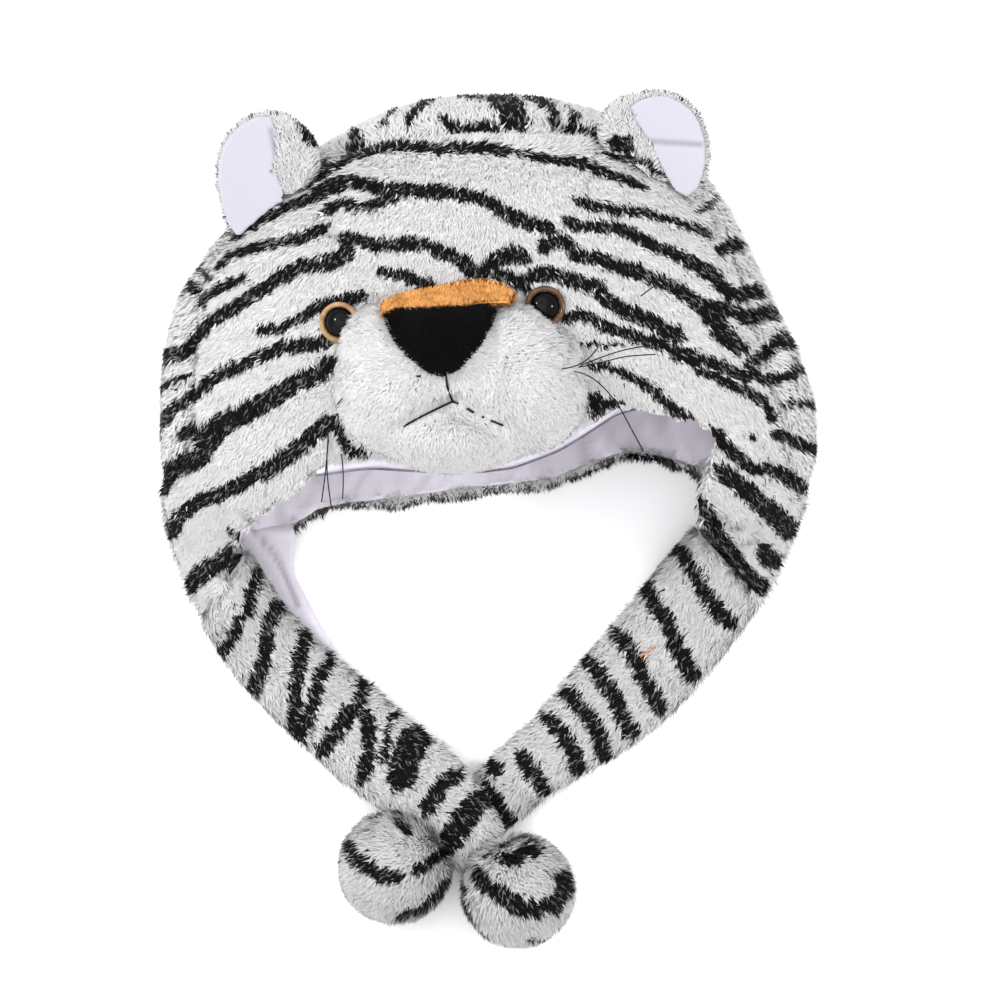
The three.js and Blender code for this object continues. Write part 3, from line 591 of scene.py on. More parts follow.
def lay_out(mesh, uv_points, facing_up, small):
    """Lays the surface out flat for the export: its upper side left, its under side right."""
    low = uv_points.min(axis=0)
    span = np.maximum(uv_points.max(axis=0) - low, 1e-6)
    flat = (uv_points - low) / span * LAYOUT_SPAN + LAYOUT_MARGIN
    corners = np.empty(len(mesh.loops), np.int32)
    mesh.loops.foreach_get("vertex_index", corners)
    starts = np.empty(len(mesh.polygons), np.int32)
    mesh.polygons.foreach_get("loop_start", starts)
    sides = np.diff(np.append(starts, len(mesh.loops)))
    uv = flat[corners]
    uv[:, 0] = uv[:, 0] / 2 + np.where(np.repeat(facing_up, sides), 0, 0.5)
    uv += small[corners]
    layer = mesh.uv_layers.new(name="OFBake")
    layer.data.foreach_set("uv", uv.astype(np.float32).ravel())


# How much the pile takes its light from the shape under it, and not from each lock.
SOFTNESS = 0.86
# How wide each lock is on the flat layout.
LOCK_MARK = 0.0011


def with_pile(piece, locks_made, outward, ink, tone, skin_ink, lit):
    """Joins the pile to its skin, with the dye of each lock and of the skin."""
    skin_count = len(piece.data.vertices)
    skin_faces = len(piece.data.polygons)
    pile = pile_mesh(piece.name + "_pile", locks_made)
    bm = opened(piece.data, pile)
    shade_round(bm.faces)
    put_back(bm, piece.data)
    bpy.data.meshes.remove(pile)
    mesh = piece.data
    note(mesh, "ink", np.concatenate([skin_ink, np.repeat(ink, 4)]))
    note(mesh, "tone", np.concatenate([np.full(skin_count, 0.5), np.repeat(tone, 4)]))
    uv_points = np.concatenate([places_of(mesh)[:skin_count, :2],
                                np.repeat(locks_made[:, 0, :2], 4, axis=0)])
    small = np.zeros((len(mesh.vertices), 2))
    mark = np.array([[0, -1], [1, 0], [0, 1], [-1, 0]]) * LOCK_MARK / 2
    small[skin_count:] = np.tile(mark, (len(ink), 1))
    facings = rows_of(mesh.polygons, "normal")
    facing_up = facings[:, 2] >= 0
    facing_up[skin_faces:] = outward[:, 2] >= 0
    lay_out(mesh, uv_points, facing_up, small)
    soft = unit(SOFTNESS * lit + (1 - SOFTNESS) * facings[skin_faces:])
    shading = np.concatenate([np.zeros((skin_count, 3)), np.repeat(soft, 4, axis=0)])
    mesh.normals_split_custom_set_from_vertices(shading.tolist())


# Finishes

# The black dye of a lock, from its darkest to its lightest, by the lock's random tone.
BLACK = (0.0025, 0.0025, 0.003)
BLACK_TIP = (0.008, 0.008, 0.0085)


def finish_of(name, roughness=0.8):
    """A new material, with its shader, its links and a maker of nodes."""
    material = bpy.data.materials.new(name)
    material.use_nodes = True
    nodes = material.node_tree.nodes
    shader = nodes["Principled BSDF"]
    shader.inputs["Roughness"].default_value = roughness
    return material, nodes, material.node_tree.links, shader


def ramp(nodes, stops):
    node = nodes.new("ShaderNodeValToRGB")
    elements = node.color_ramp.elements
    while len(elements) < len(stops):
        elements.new(0.5)
    for element, (place, colour) in zip(elements, stops):
        element.position = place
        element.color = (*colour, 1)
    return node


def read_note(nodes, name):
    node = nodes.new("ShaderNodeAttribute")
    node.attribute_name = name
    return node


def mottled(nodes, links, scale, detail=3.0):
    """Soft noise over the piece."""
    where = nodes.new("ShaderNodeTexCoord")
    noise = nodes.new("ShaderNodeTexNoise")
    noise.inputs["Scale"].default_value = scale
    noise.inputs["Detail"].default_value = detail
    links.new(where.outputs["Object"], noise.inputs["Vector"])
    return noise


def add_bump(nodes, links, shader, height, strength, distance):
    bump = nodes.new("ShaderNodeBump")
    bump.inputs["Strength"].default_value = strength
    bump.inputs["Distance"].default_value = distance
    links.new(height, bump.inputs["Height"])
    links.new(bump.outputs["Normal"], shader.inputs["Normal"])


def mix_colours(nodes, links, share, first, second, blend="MIX"):
    node = nodes.new("ShaderNodeMix")
    node.data_type = "RGBA"
    node.blend_type = blend
    for socket, value in ((node.inputs[0], share), (node.inputs[6], first), (node.inputs[7], second)):
        if isinstance(value, (int, float)):
            socket.default_value = value
        elif isinstance(value, tuple):
            socket.default_value = (*value, 1)
        else:
            links.new(value, socket)
    return node.outputs[2]


def plush_finish(name, white, white_deep, grain=60):
    """Dyed pile: light locks, each a little greyer or lighter at random, black where the chart is
    dyed.
    """
    material, nodes, links, shader = finish_of(name, 0.9)
    ink = read_note(nodes, "ink")
    tone = read_note(nodes, "tone")
    light = ramp(nodes, [(0.0, white_deep), (1.0, white)])
    dark = ramp(nodes, [(0.0, BLACK), (1.0, BLACK_TIP)])
    cloud = mottled(nodes, links, grain)
    blend = nodes.new("ShaderNodeMath")
    blend.operation = "MULTIPLY_ADD"
    links.new(cloud.outputs["Fac"], blend.inputs[0])
    blend.inputs[1].default_value = 0.35
    links.new(tone.outputs["Fac"], blend.inputs[2])
    links.new(blend.outputs[0], light.inputs["Fac"])
    links.new(tone.outputs["Fac"], dark.inputs["Fac"])
    colour = mix_colours(nodes, links, ink.outputs["Fac"], light.outputs["Color"],
                         dark.outputs["Color"])
    links.new(colour, shader.inputs["Base Color"])
    shader.inputs["Sheen Weight"].default_value = 0.02
    shader.inputs["Sheen Roughness"].default_value = 0.5
    shader.inputs["Specular IOR Level"].default_value = 0.06
    return material


def knit_finish(name, light, dark, rib=900, depth=0.25):
    """Fine knitted cloth: ribs one way, loops across them, soft mottling, and painted shade darkening
    its creases.
    """
    material, nodes, links, shader = finish_of(name, 0.75)
    where = nodes.new("ShaderNodeTexCoord")
    waves = []
    for direction, scale, detail in (("X", rib, 1.0), ("Y", rib * 0.7, 2.0)):
        wave = nodes.new("ShaderNodeTexWave")
        wave.wave_type = "BANDS"
        wave.bands_direction = direction
        wave.inputs["Scale"].default_value = scale
        wave.inputs["Distortion"].default_value = 1.5
        wave.inputs["Detail"].default_value = detail
        links.new(where.outputs["Object"], wave.inputs["Vector"])
        waves.append(wave.outputs["Color"])
    knit = mix_colours(nodes, links, 0.5, *waves)
    cloud = mottled(nodes, links, 35)
    shade = mix_colours(nodes, links, 0.5, knit, cloud.outputs["Color"])
    colour = ramp(nodes, [(0.25, dark), (0.75, light)])
    links.new(shade, colour.inputs["Fac"])
    # Painted shade: the cloth is drawn darker where its creases are noted.
    crease_shade = read_note(nodes, "crease_shade")
    crease_shade_colour = tuple(0.72 * part for part in dark)
    crease_shaded = mix_colours(nodes, links, crease_shade.outputs["Fac"], colour.outputs["Color"], crease_shade_colour)
    links.new(crease_shaded, shader.inputs["Base Color"])
    add_bump(nodes, links, shader, knit, depth, 0.4 * MM)
    shader.inputs["Sheen Weight"].default_value = 0.3
    shader.inputs["Sheen Roughness"].default_value = 0.4
    return material


def plastic_finish(name, light, dark, roughness=0.12, gloss=0.3):
    """Glossy plastic, slightly clouded inside."""
    material, nodes, links, shader = finish_of(name, roughness)
    cloud = mottled(nodes, links, 260, 2.0)
    colour = ramp(nodes, [(0.3, dark), (0.7, light)])
    links.new(cloud.outputs["Fac"], colour.inputs["Fac"])
    links.new(colour.outputs["Color"], shader.inputs["Base Color"])
    scratches = mottled(nodes, links, 900, 4.0)
    add_bump(nodes, links, shader, scratches.outputs["Fac"], 0.04, 0.2 * MM)
    shader.inputs["Specular IOR Level"].default_value = gloss
    return material


striped_plush = plush_finish("striped_plush", (0.555, 0.55, 0.55), (0.44, 0.437, 0.442))
strap_plush = plush_finish("strap_plush", (0.495, 0.488, 0.485), (0.35, 0.346, 0.35))
white_plush = plush_finish("white_plush", (0.575, 0.57, 0.575), (0.47, 0.467, 0.475))
black_plush = plush_finish("black_plush", (0.0030, 0.0027, 0.0027), (0.001, 0.001, 0.001))
orange_plush = plush_finish("orange_plush", (0.78, 0.38, 0.12), (0.24, 0.065, 0.008), grain=330)
lining_cloth = knit_finish("lining_cloth", (0.74, 0.71, 0.775), (0.54, 0.51, 0.58))
hem_cloth = knit_finish("hem_cloth", (0.66, 0.645, 0.725), (0.56, 0.545, 0.62), rib=1100, depth=0.12)
ear_cloth = knit_finish("ear_cloth", (0.425, 0.415, 0.47), (0.365, 0.355, 0.415), rib=1100, depth=0.12)
tan_plastic = plastic_finish("tan_plastic", (0.42, 0.27, 0.135), (0.24, 0.135, 0.06))
brown_plastic = plastic_finish("brown_plastic", (0.13, 0.06, 0.028), (0.05, 0.024, 0.012))
pupil_plastic = plastic_finish("pupil_plastic", (0.002, 0.002, 0.003), (0.001, 0.001, 0.001),
                               roughness=0.04, gloss=0.13)
thread_orange = plastic_finish("thread_orange", (0.75, 0.25, 0.06), (0.50, 0.14, 0.03),
                               roughness=0.7, gloss=0.1)
thread_black = plastic_finish("thread_black", (0.010, 0.009, 0.010), (0.004, 0.004, 0.005),
                              roughness=0.6, gloss=0.1)
# Painted shadow: a dark purple-grey for the thread that stands in for the shadow where the hem turns
# under.
painted_hem_shadow = plastic_finish("painted_hem_shadow", (0.22, 0.19, 0.26), (0.14, 0.11, 0.165),
                            roughness=0.8, gloss=0.1)


def dressed(piece, material, slot, *nodes):
    piece.data.materials.clear()
    piece.data.materials.append(material)
    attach(piece, "root")
    if nodes:
        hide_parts(*nodes)

def dressed_cloth(piece, material, slot, node):
    """Smooth cloth gets its finish, and shading without facets."""
    dressed(piece, material, slot, node)
    for face in piece.data.polygons:
        face.use_smooth = True


def plush_piece(piece, material, slot, nodes, count, wanted, comb, stripes=(), patches=(),
                length=5.0 * MM, lean=1.1, width=0.9 * MM, seed=1, clump=6 * MM,
                ink_of=None, ragged=1.0, reach_of=None, lit_of=None):
    """Covers a skin in pile and gives it its finish."""
    roots, outward = rooted(piece, count, wanted, seed)
    if reach_of is not None:
        length = length * reach_of(roots)
    points = locks(roots, outward, comb(roots, outward), length, lean, width, seed + 10, clump)
    rng = np.random.default_rng(seed + 20)
    tone = np.clip(rng.normal(0.55, 0.20, count) + 0.18 * drift(roots, 9 * MM, seed), 0, 1)
    seen = 0.4 * roots + 0.6 * points[:, 2]
    skin_points = places_of(piece.data)
    if ink_of is None:
        def ink_of(places, facings, seed):
            return dyed(places, stripes, patches, ragged, seed)
    ink = ink_of(seen, outward, seed + 30)
    skin_ink = ink_of(skin_points, facings_of(piece.data), seed + 31)
    lit = outward if lit_of is None else lit_of(roots, outward)
    with_pile(piece, points, outward, ink, tone, skin_ink, lit)
    dressed(piece, material, slot, *nodes)


# Crown

# The face's pile lies above this height, the back's below it.
FACE_LEVEL = 60 * MM
PILE_HEIGHT = 2.0 * MM


def under_muzzle(points):
    """1 where the muzzle hides the face's pile, 0 elsewhere."""
    off = np.hypot((points[:, 0] + 12 * MM) / (50 * MM), (points[:, 1] + 38 * MM) / (30 * MM))
    return (off < 1).astype(float)


# The eyes: the middle of each one, and the radius that stays free of pile.
EYE_PLACES = {"left": (-63.2 * MM, -13.85 * MM), "right": (23.1 * MM, -7.2 * MM)}
EYE_BARE = 8.8 * MM


def bare_under_eyes(points):
    bare = np.ones(len(points))
    for across, along in EYE_PLACES.values():
        off = np.hypot(points[:, 0] - across, points[:, 1] - along)
        bare[(off < EYE_BARE) & (points[:, 2] > FACE_LEVEL)] = 0
    return bare


# The hem: a smooth strip of cloth on the front edge, under the muzzle, by its lower edge.
HEM_LINE = [(316, 475), (328, 474), (345, 471), (372, 468), (400, 470), (440, 472), (480, 472),
            (512, 468), (538, 459), (560, 450), (580, 438), (600, 425), (618, 413), (636, 409)]
HEM_RISE = 14
# The edge of the front, with the hem in its middle.
FRONT_EDGE = [(250, 528), (263, 516), (282, 503), (295, 498), (306, 487), (315, 477)] + HEM_LINE + [
    (660, 416), (677, 424), (696, 423), (713, 430)]


def off_line(points, line):
    return np.maximum(beside_stripe(on_chart(points), 0, 0, line), 0) * CHART_UNIT


def crown_pile(points, facings):
    outer = ((facings * crown_outward(points)).sum(axis=1) > -0.25).astype(float)
    outer *= 1 + 1.5 * (facings[:, 1] < -0.5) * (points[:, 1] < -90 * MM)
    fringe = on_fringe(points, 5 * MM)
    outer = np.where(fringe, 4.5, outer)
    below = points[:, 2] < 4 * MM
    hidden = under_muzzle(points) * (points[:, 2] > FACE_LEVEL)
    hem_middle = [(x, y - HEM_RISE / 2) for x, y in HEM_LINE[1:-1]]
    under_hem = (off_line(points, hem_middle) < 3.2 * MM) & (points[:, 2] > FACE_LEVEL)
    wanted = outer * np.where(below & ~fringe, 0.35, 1.0) * (1 - hidden)
    return wanted * bare_under_eyes(points) * np.where(under_hem, 0, 1)


def crown_comb(points, outward):
    """The crown's pile is combed down the head and out to its sides, and over the top."""
    down = np.zeros_like(points)
    down[:, 0] = 0.9 * points[:, 0] / (140 * MM)
    down[:, 1] = -1.0
    down[:, 2] = -0.25
    over = np.zeros_like(points)
    over[:, 0] = 0.5 * points[:, 0] / (140 * MM)
    over[:, 1] = 0.6
    over[:, 2] = -1.0
    top = ease(points[:, 1], 50 * MM, 68 * MM)[:, None]
    comb = down * (1 - top) + over * top
    comb[:, 0] += 2.4 * (top * (1 - top))[:, 0]
    fringe = on_fringe(points, 6 * MM)
    comb[fringe] = (0, -1, 0.8)
    return comb


def on_fringe(points, width):
    return (off_line(points, BACK_EDGE) < width) & (points[:, 2] < FACE_LEVEL)


def loose_fringe(points, outward):
    """The fringe's loose hairs take the light from above."""
    fringe = on_fringe(points, 9 * MM)[:, None]
    return unit(outward + np.where(fringe, 4.5, 0) * np.array([0, 0, 1]))


def light_rim(points, outward):
    """The loose hairs round an ear's rim take the light from above."""
    return unit(outward + np.array([0, 0, 1.1]))


def near_edges(points):
    """Shorter pile on the front edge, so that it doesn't hide the lining, longer on the fringe."""
    front = np.where(points[:, 2] > FACE_LEVEL, off_line(points, FRONT_EDGE), 1)
    return (0.55 + 0.45 * ease(front, 1 * MM, 8 * MM)) * np.where(on_fringe(points, 5 * MM), 1.3, 1)


def mirrored(stripes):
    return [(a, b, [(2 * CHART_MIDDLE[0] - x, y + 9) for x, y in line]) for a, b, line in stripes]


def back_ink(points, facings, seed):
    """The chart folds round the crown's edge; the back of the head has its own stripes."""
    seen = dyed(points, FACE_CHART, BLACK_PATCHES, seed=seed)
    behind = dyed(points, spread(BACK_STRIPES + mirrored(BACK_STRIPES), 1.38), seed=seed)
    fringe = dyed(points, FRINGE_STRIPES, seed=seed)
    ink = np.where((facings[:, 2] < -0.35) & (points[:, 2] < 30 * MM), behind, seen)
    return np.where(on_fringe(points, 10 * MM), fringe, ink)


def lift_front(piece):
    """Raises the front edge beside the muzzle, where the photographed hat's edge is arched."""
    points = places_of(piece.data)
    across = np.exp(-((points[:, 0] - 58 * MM) / (19 * MM)) ** 2)
    along = ease(-points[:, 1], 40 * MM, 60 * MM)
    front = ease(points[:, 2], 50 * MM, 60 * MM)
    points[:, 1] += 6.5 * MM * across * along * front
    move_to(piece.data, points)


PANELS = ["forehead_panel", "side_panel_left", "side_panel_right"]


def make_crown():
    back = skin_of(["back_panel"], "plush_back", 4 * MM)
    draw_in(back, PILE_HEIGHT, crown_outward, PANELS)
    plush_piece(back, striped_plush, "striped_plush", ["back_panel"], 60000, crown_pile,
                crown_comb, seed=100, ink_of=back_ink, reach_of=near_edges,
                lit_of=loose_fringe)
    panels = (
        ("forehead_panel", "plush_forehead", 35500, 200, ["side_panel_left", "side_panel_right"]),
        ("side_panel_left", "plush_cheek_left", 52500, 300, ["forehead_panel", "strap_left"]),
        ("side_panel_right", "plush_cheek_right", 56500, 400, ["forehead_panel", "strap_right"]),
    )
    skins = []
    for node, name, count, seed, beside in panels:
        panel = skin_of([node], name, 3 * MM)
        draw_in(panel, PILE_HEIGHT, crown_outward, beside)
        lift_front(panel)
        skins.append(outside_of(panel.data))
        plush_piece(panel, striped_plush, "striped_plush", [node], count, crown_pile,
                    crown_comb, FACE_CHART, BLACK_PATCHES, seed=seed, reach_of=near_edges)
    return skins


# A height over the whole hat.
ABOVE_ALL = 0.4


def height_over(trees, across, along, missing):
    """The height of the highest surface under a place."""
    best = missing
    for tree in trees:
        hit = tree.ray_cast(Vector((across, along, ABOVE_ALL)), Vector((0, 0, -1)))[0]
        if hit is not None:
            best = max(best, hit.z)
    return best


# Muzzle, chin and nose

MOUTH_MIDDLE = on_hat(446, 378)


def everywhere(points, facings):
    return np.ones(len(points))


def from_nose(points, outward):
    comb = np.zeros_like(points)
    comb[:, 0] = points[:, 0] - MOUTH_MIDDLE[0]
    comb[:, 1] = points[:, 1] - MOUTH_MIDDLE[1] - 6 * MM
    return unit(comb) + np.array([0, -0.5, -0.1])


def plain(points, facings, seed):
    return np.zeros(len(points))


def seat_pile(points, facings):
    """No pile on the side that is sewn to the face."""
    return (facings[:, 2] > -0.45).astype(float)


def groove(points, line, width):
    """A soft groove over a line seen from the front: 1 on the line, 0 well beside it."""
    return np.exp(-(off_line(points, line) / width) ** 2)


def press_in(piece, line, depth, width):
    """Draws a seam into a padded piece, along a line seen from the front."""
    points = places_of(piece.data)
    sink = depth * groove(points, line, width)
    move_to(piece.data, points - facings_of(piece.data) * sink[:, None])


def fold_down(piece, lines, depth, width):
    """Presses folds into flat cloth, through both of its sides, and notes them for its finish, which
    darkens them with painted shade.
    """
    points = places_of(piece.data)
    fold = np.zeros(len(points))
    for line in lines:
        fold = np.maximum(fold, groove(points, line, width))
    points[:, 2] -= depth * fold
    move_to(piece.data, points)
    note(piece.data, "crease_shade", fold)


MOUTH_LINES = [
    [(446, 374), (448, 390), (453, 402)],
    [(453, 402), (436, 410), (420, 418), (404, 427)],
    [(453, 402), (470, 410), (486, 418), (503, 427)],
]


def make_muzzle():
    """The cheeks of the muzzle and the chin under the mouth, in one plush cover."""
    muzzle = skin_of(["muzzle", "chin"], "muzzle_padding", 2 * MM, 10)
    relax_chin(muzzle)
    for line in MOUTH_LINES:
        press_in(muzzle, line, 2.2 * MM, 4 * MM)
    cover = outside_of(muzzle.data)
    draw_in(muzzle, PILE_HEIGHT)
    plush_piece(muzzle, white_plush, "white_plush", ["muzzle", "chin"], 52500, seat_pile,
                from_nose, length=4.2 * MM, lean=1.0, width=0.85 * MM, seed=500, ink_of=plain)
    nose = skin_of(["nose"], "nose_plush", 1 * MM, 4)
    draw_in(nose, 1.0 * MM)
    plush_piece(nose, black_plush, "black_plush", ["nose"], 7000, seat_pile, from_nose,
                length=2.2 * MM, lean=0.8, width=0.5 * MM, seed=540, ink_of=plain, clump=3 * MM)
    band = skin_of(["nose_band"], "nose_band_plush", 1 * MM, 4)
    draw_in(band, 0.9 * MM)
    settle_band(band)
    plush_piece(band, orange_plush, "orange_plush", ["nose_band"], 9000, seat_pile, up_the_face,
                length=2.6 * MM, lean=0.6, width=0.6 * MM, seed=560, ink_of=plain,
                clump=2.5 * MM)
    return cover


# The middle of the chin, its half width and half height, and how often it is smoothed.
CHIN_MIDDLE = on_hat(453, 428)
CHIN_WIDE = 36 * MM
CHIN_HIGH = 15 * MM
CHIN_ROUNDS = 24


def relax_chin(muzzle):
    """Smooths the way from the cheeks of the muzzle into the chin."""
    bm = opened(muzzle.data)
    near = []
    for vert in bm.verts:
        across = (vert.co.x - CHIN_MIDDLE[0]) / CHIN_WIDE
        along = (vert.co.y - CHIN_MIDDLE[1]) / CHIN_HIGH
        if across ** 2 + along ** 2 < 1:
            near.append(vert)
    relax(bm, near, CHIN_ROUNDS)
    put_back(bm, muzzle.data)


def settle_band(band):
    """The band's left end lies lower on the nose than its right end."""
    points = places_of(band.data)
    share = np.interp(points[:, 0], [-46 * MM, 10 * MM], [1, 0.25])
    points[:, 1] -= 2.4 * MM * share
    move_to(band.data, points)


def up_the_face(points, outward):
    comb = np.zeros_like(points)
    comb[:, 0] = 0.3 * drift(points, 12 * MM, 77)
    comb[:, 1] = 1.0
    return comb


# Eyes

RING_PROFILE = [(6.4, -1.2), (6.42, 0.0), (6.7, 0.5), (7.1, 0.8), (7.6, 0.9), (8.1, 0.7),
                (8.5, 0.2), (8.65, -0.4), (8.65, -1.2)]
PUPIL_PROFILE = [(0, 2.7), (1.0, 2.64), (2.1, 2.43), (3.2, 2.08), (4.2, 1.6), (5.0, 1.05),
                 (5.7, 0.35), (6.15, -0.4), (6.2, -1.0), (0, -1.0)]


def turned(name, profile, seat, cut_at, cut_side):
    """A shape turned from its profile, set on its seat and cut off behind the muzzle."""
    bm = bmesh.new()
    corners = [bm.verts.new((r * MM, 0, z * MM)) for r, z in profile]
    edges = [bm.edges.new(pair) for pair in zip(corners, corners[1:])]
    if profile[0][0] > 0:
        edges.append(bm.edges.new((corners[-1], corners[0])))
    bmesh.ops.spin(bm, geom=corners + edges, cent=(0, 0, 0), axis=(0, 0, 1), dvec=(0, 0, 0),
                   angle=2 * math.pi, steps=64, use_merge=True, use_duplicate=False)
    bmesh.ops.remove_doubles(bm, verts=bm.verts, dist=MERGED)
    bmesh.ops.transform(bm, matrix=seat, verts=bm.verts)
    whole = list(bm.verts) + list(bm.edges) + list(bm.faces)
    cut = bmesh.ops.bisect_plane(bm, geom=whole, plane_co=(cut_at, 0, 0),
                                 plane_no=(cut_side, 0, 0), clear_outer=True)
    rim = [part for part in cut["geom_cut"] if isinstance(part, bmesh.types.BMEdge)]
    bmesh.ops.holes_fill(bm, edges=rim, sides=0)
    bmesh.ops.recalc_face_normals(bm, faces=bm.faces)
    shade_round(bm.faces)
    return new_piece(bm, name)


def eye_seat(side):
    """Where an eye sits: in the middle of its packed ring, facing as the ring does."""
    points = places_of(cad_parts["eye_ring_" + side].data)
    middle = points.mean(axis=0)
    facing = np.linalg.svd(points - middle, full_matrices=False)[2][2]
    facing = facing * np.sign(facing[2])
    across, along = EYE_PLACES[side]
    slope = facing[0] * (across - middle[0]) + facing[1] * (along - middle[1])
    high = middle[2] - slope / facing[2]
    turn = Vector(facing).to_track_quat("Z", "Y").to_matrix().to_4x4()
    return Matrix.Translation((across, along, high)) @ turn


def make_eyes():
    cuts = {"left": (-54 * MM, 1, tan_plastic), "right": (12 * MM, -1, brown_plastic)}
    for side, (cut_at, cut_side, plastic) in cuts.items():
        seat = eye_seat(side)
        ring = turned("ring_" + side, RING_PROFILE, seat, cut_at, cut_side)
        dressed(ring, plastic, "eye_ring", "eye_ring_" + side)
        dome = turned("dome_" + side, PUPIL_PROFILE, seat, cut_at, cut_side)
        dressed(dome, pupil_plastic, "pupil", "pupil_" + side)


# Thread and bristles: the mouth's stitches and the whiskers

STITCHES = MOUTH_LINES[:2] + [
    [(453, 402), (458, 404)],
    [(467, 409), (474, 413)],
    [(482, 417), (484, 418)],
    [(491, 421), (503, 426)],
    [(417, 377), (421, 377)],
]
# Whiskers: how high they stand over the pile at the root and at the tip, then the line.
WHISKERS = [
    (0.5, 1.5, [(336, 407), (343, 399)]),
    (0.5, 0, [(329, 428), (328, 450), (326, 472), (322, 502)]),
    (0.5, 0, [(329, 440), (327, 460), (328, 480), (332, 509)]),
    (0.5, 0, [(342, 454), (344, 475), (343, 499)]),
    (1.0, 4, [(561, 370), (573, 368), (585, 363), (592, 356), (597, 349)]),
    (1.0, 5, [(580, 366), (606, 356), (625, 350), (650, 346)]),
    (1.0, 5, [(578, 368), (606, 362), (624, 357), (655, 355)]),
    (1.0, 2, [(574, 372), (587, 375), (597, 382), (606, 391), (614, 400), (621, 411), (631, 430),
              (643, 452)]),
    (3.0, 4, [(640, 297), (649, 290), (658, 284)]),
]
STITCH_RADIUS = 0.5 * MM
WHISKER_RADIUS = 0.3 * MM
# The thread of painted shadow along the hem's lower edge.
HEM_SHADOW_RADIUS = 0.5 * MM


def finer(line, step):
    """A line with a spot every few chart units, rounded where it bends."""
    line = np.array(line, float)
    along = lengths_along(line)[1]
    count = max(3, int(along[-1] / step) + 1)
    at = np.linspace(0, along[-1], count)
    spots = np.stack([np.interp(at, along, line[:, 0]), np.interp(at, along, line[:, 1])], axis=1)
    for _ in range(3):
        spots[1:-1] = (spots[:-2] + 2 * spots[1:-1] + spots[2:]) / 4
    return spots


def draw_thread(bm, places, radius):
    """A round thread through some places, closed at both ends."""
    heading = (places[1] - places[0]).normalized()
    start = Matrix.Translation(places[0]) @ heading.to_track_quat("Z", "Y").to_matrix().to_4x4()
    ring = bmesh.ops.create_circle(bm, cap_ends=True, radius=radius, segments=6, matrix=start)
    face = ring["verts"][0].link_faces[0]
    for here, there in zip(places, places[1:]):
        grown = bmesh.ops.extrude_face_region(bm, geom=[face])["geom"]
        face = next(part for part in grown if isinstance(part, bmesh.types.BMFace))
        bmesh.ops.translate(bm, vec=there - here, verts=face.verts)
        onward = (there - here).normalized()
        turn = heading.rotation_difference(onward).to_matrix()
        bmesh.ops.rotate(bm, cent=there, matrix=turn, verts=face.verts)
        heading = onward


def thread_piece(name, runs, radius, slot, material):
    bm = bmesh.new()
    for places in runs:
        draw_thread(bm, places, radius)
    bmesh.ops.recalc_face_normals(bm, faces=bm.faces)
    shade_round(bm.faces)
    dressed(new_piece(bm, name), material, slot)


def make_stitches(cover):
    runs = []
    for line in STITCHES:
        places = []
        for spot in finer(line, 3.0):
            across, along = on_hat(*spot)
            high = height_over([cover], across, along, 0.11)
            places.append(Vector((across, along, high + 0.5 * MM)))
        runs.append(places)
    thread_piece("mouth_stitches", runs, STITCH_RADIUS, "black_plush", thread_black)


def make_whiskers(trees):
    runs = []
    for low, high, line in WHISKERS:
        spots = finer(line, 5.0)
        ground = [height_over(trees, *on_hat(*spot), 0.0) for spot in spots]
        stand = np.linspace(low, high, len(spots)) * MM + 2.6 * MM
        level = ground[0] + stand[0]
        places = []
        for n, spot in enumerate(spots):
            level = max(level - 0.35 * MM, ground[n] + stand[n])
            places.append(Vector((*on_hat(*spot), level)))
        runs.append(places)
    thread_piece("whiskers", runs, WHISKER_RADIUS, "black_plush", thread_black)


# Hem: the smooth cloth strip on the front edge, under the muzzle, and a dark thread of painted shadow
# along its lower edge

def evened(heights):
    """Heights along a line without the dips between the skins."""
    heights = np.array(heights)
    for _ in range(6):
        around = (np.append(heights[1:], heights[-1]) + np.insert(heights[:-1], 0, heights[0])) / 2
        heights = np.maximum(heights, around - 0.2 * MM)
    return heights


# The hem's rows: how far up the strip each one is, and how high it stands over the plush's skin.
HEM_ROWS = [(-0.10, -3.5), (0.02, -0.2), (0.2, 1.3), (0.45, 1.7), (0.7, 1.7), (0.95, 1.2), (1.05, 0.0)]
HEM_THICK = 0.7 * MM
# The height of the front's edge where no skin lies under a spot.
EDGE_HEIGHT = 0.085


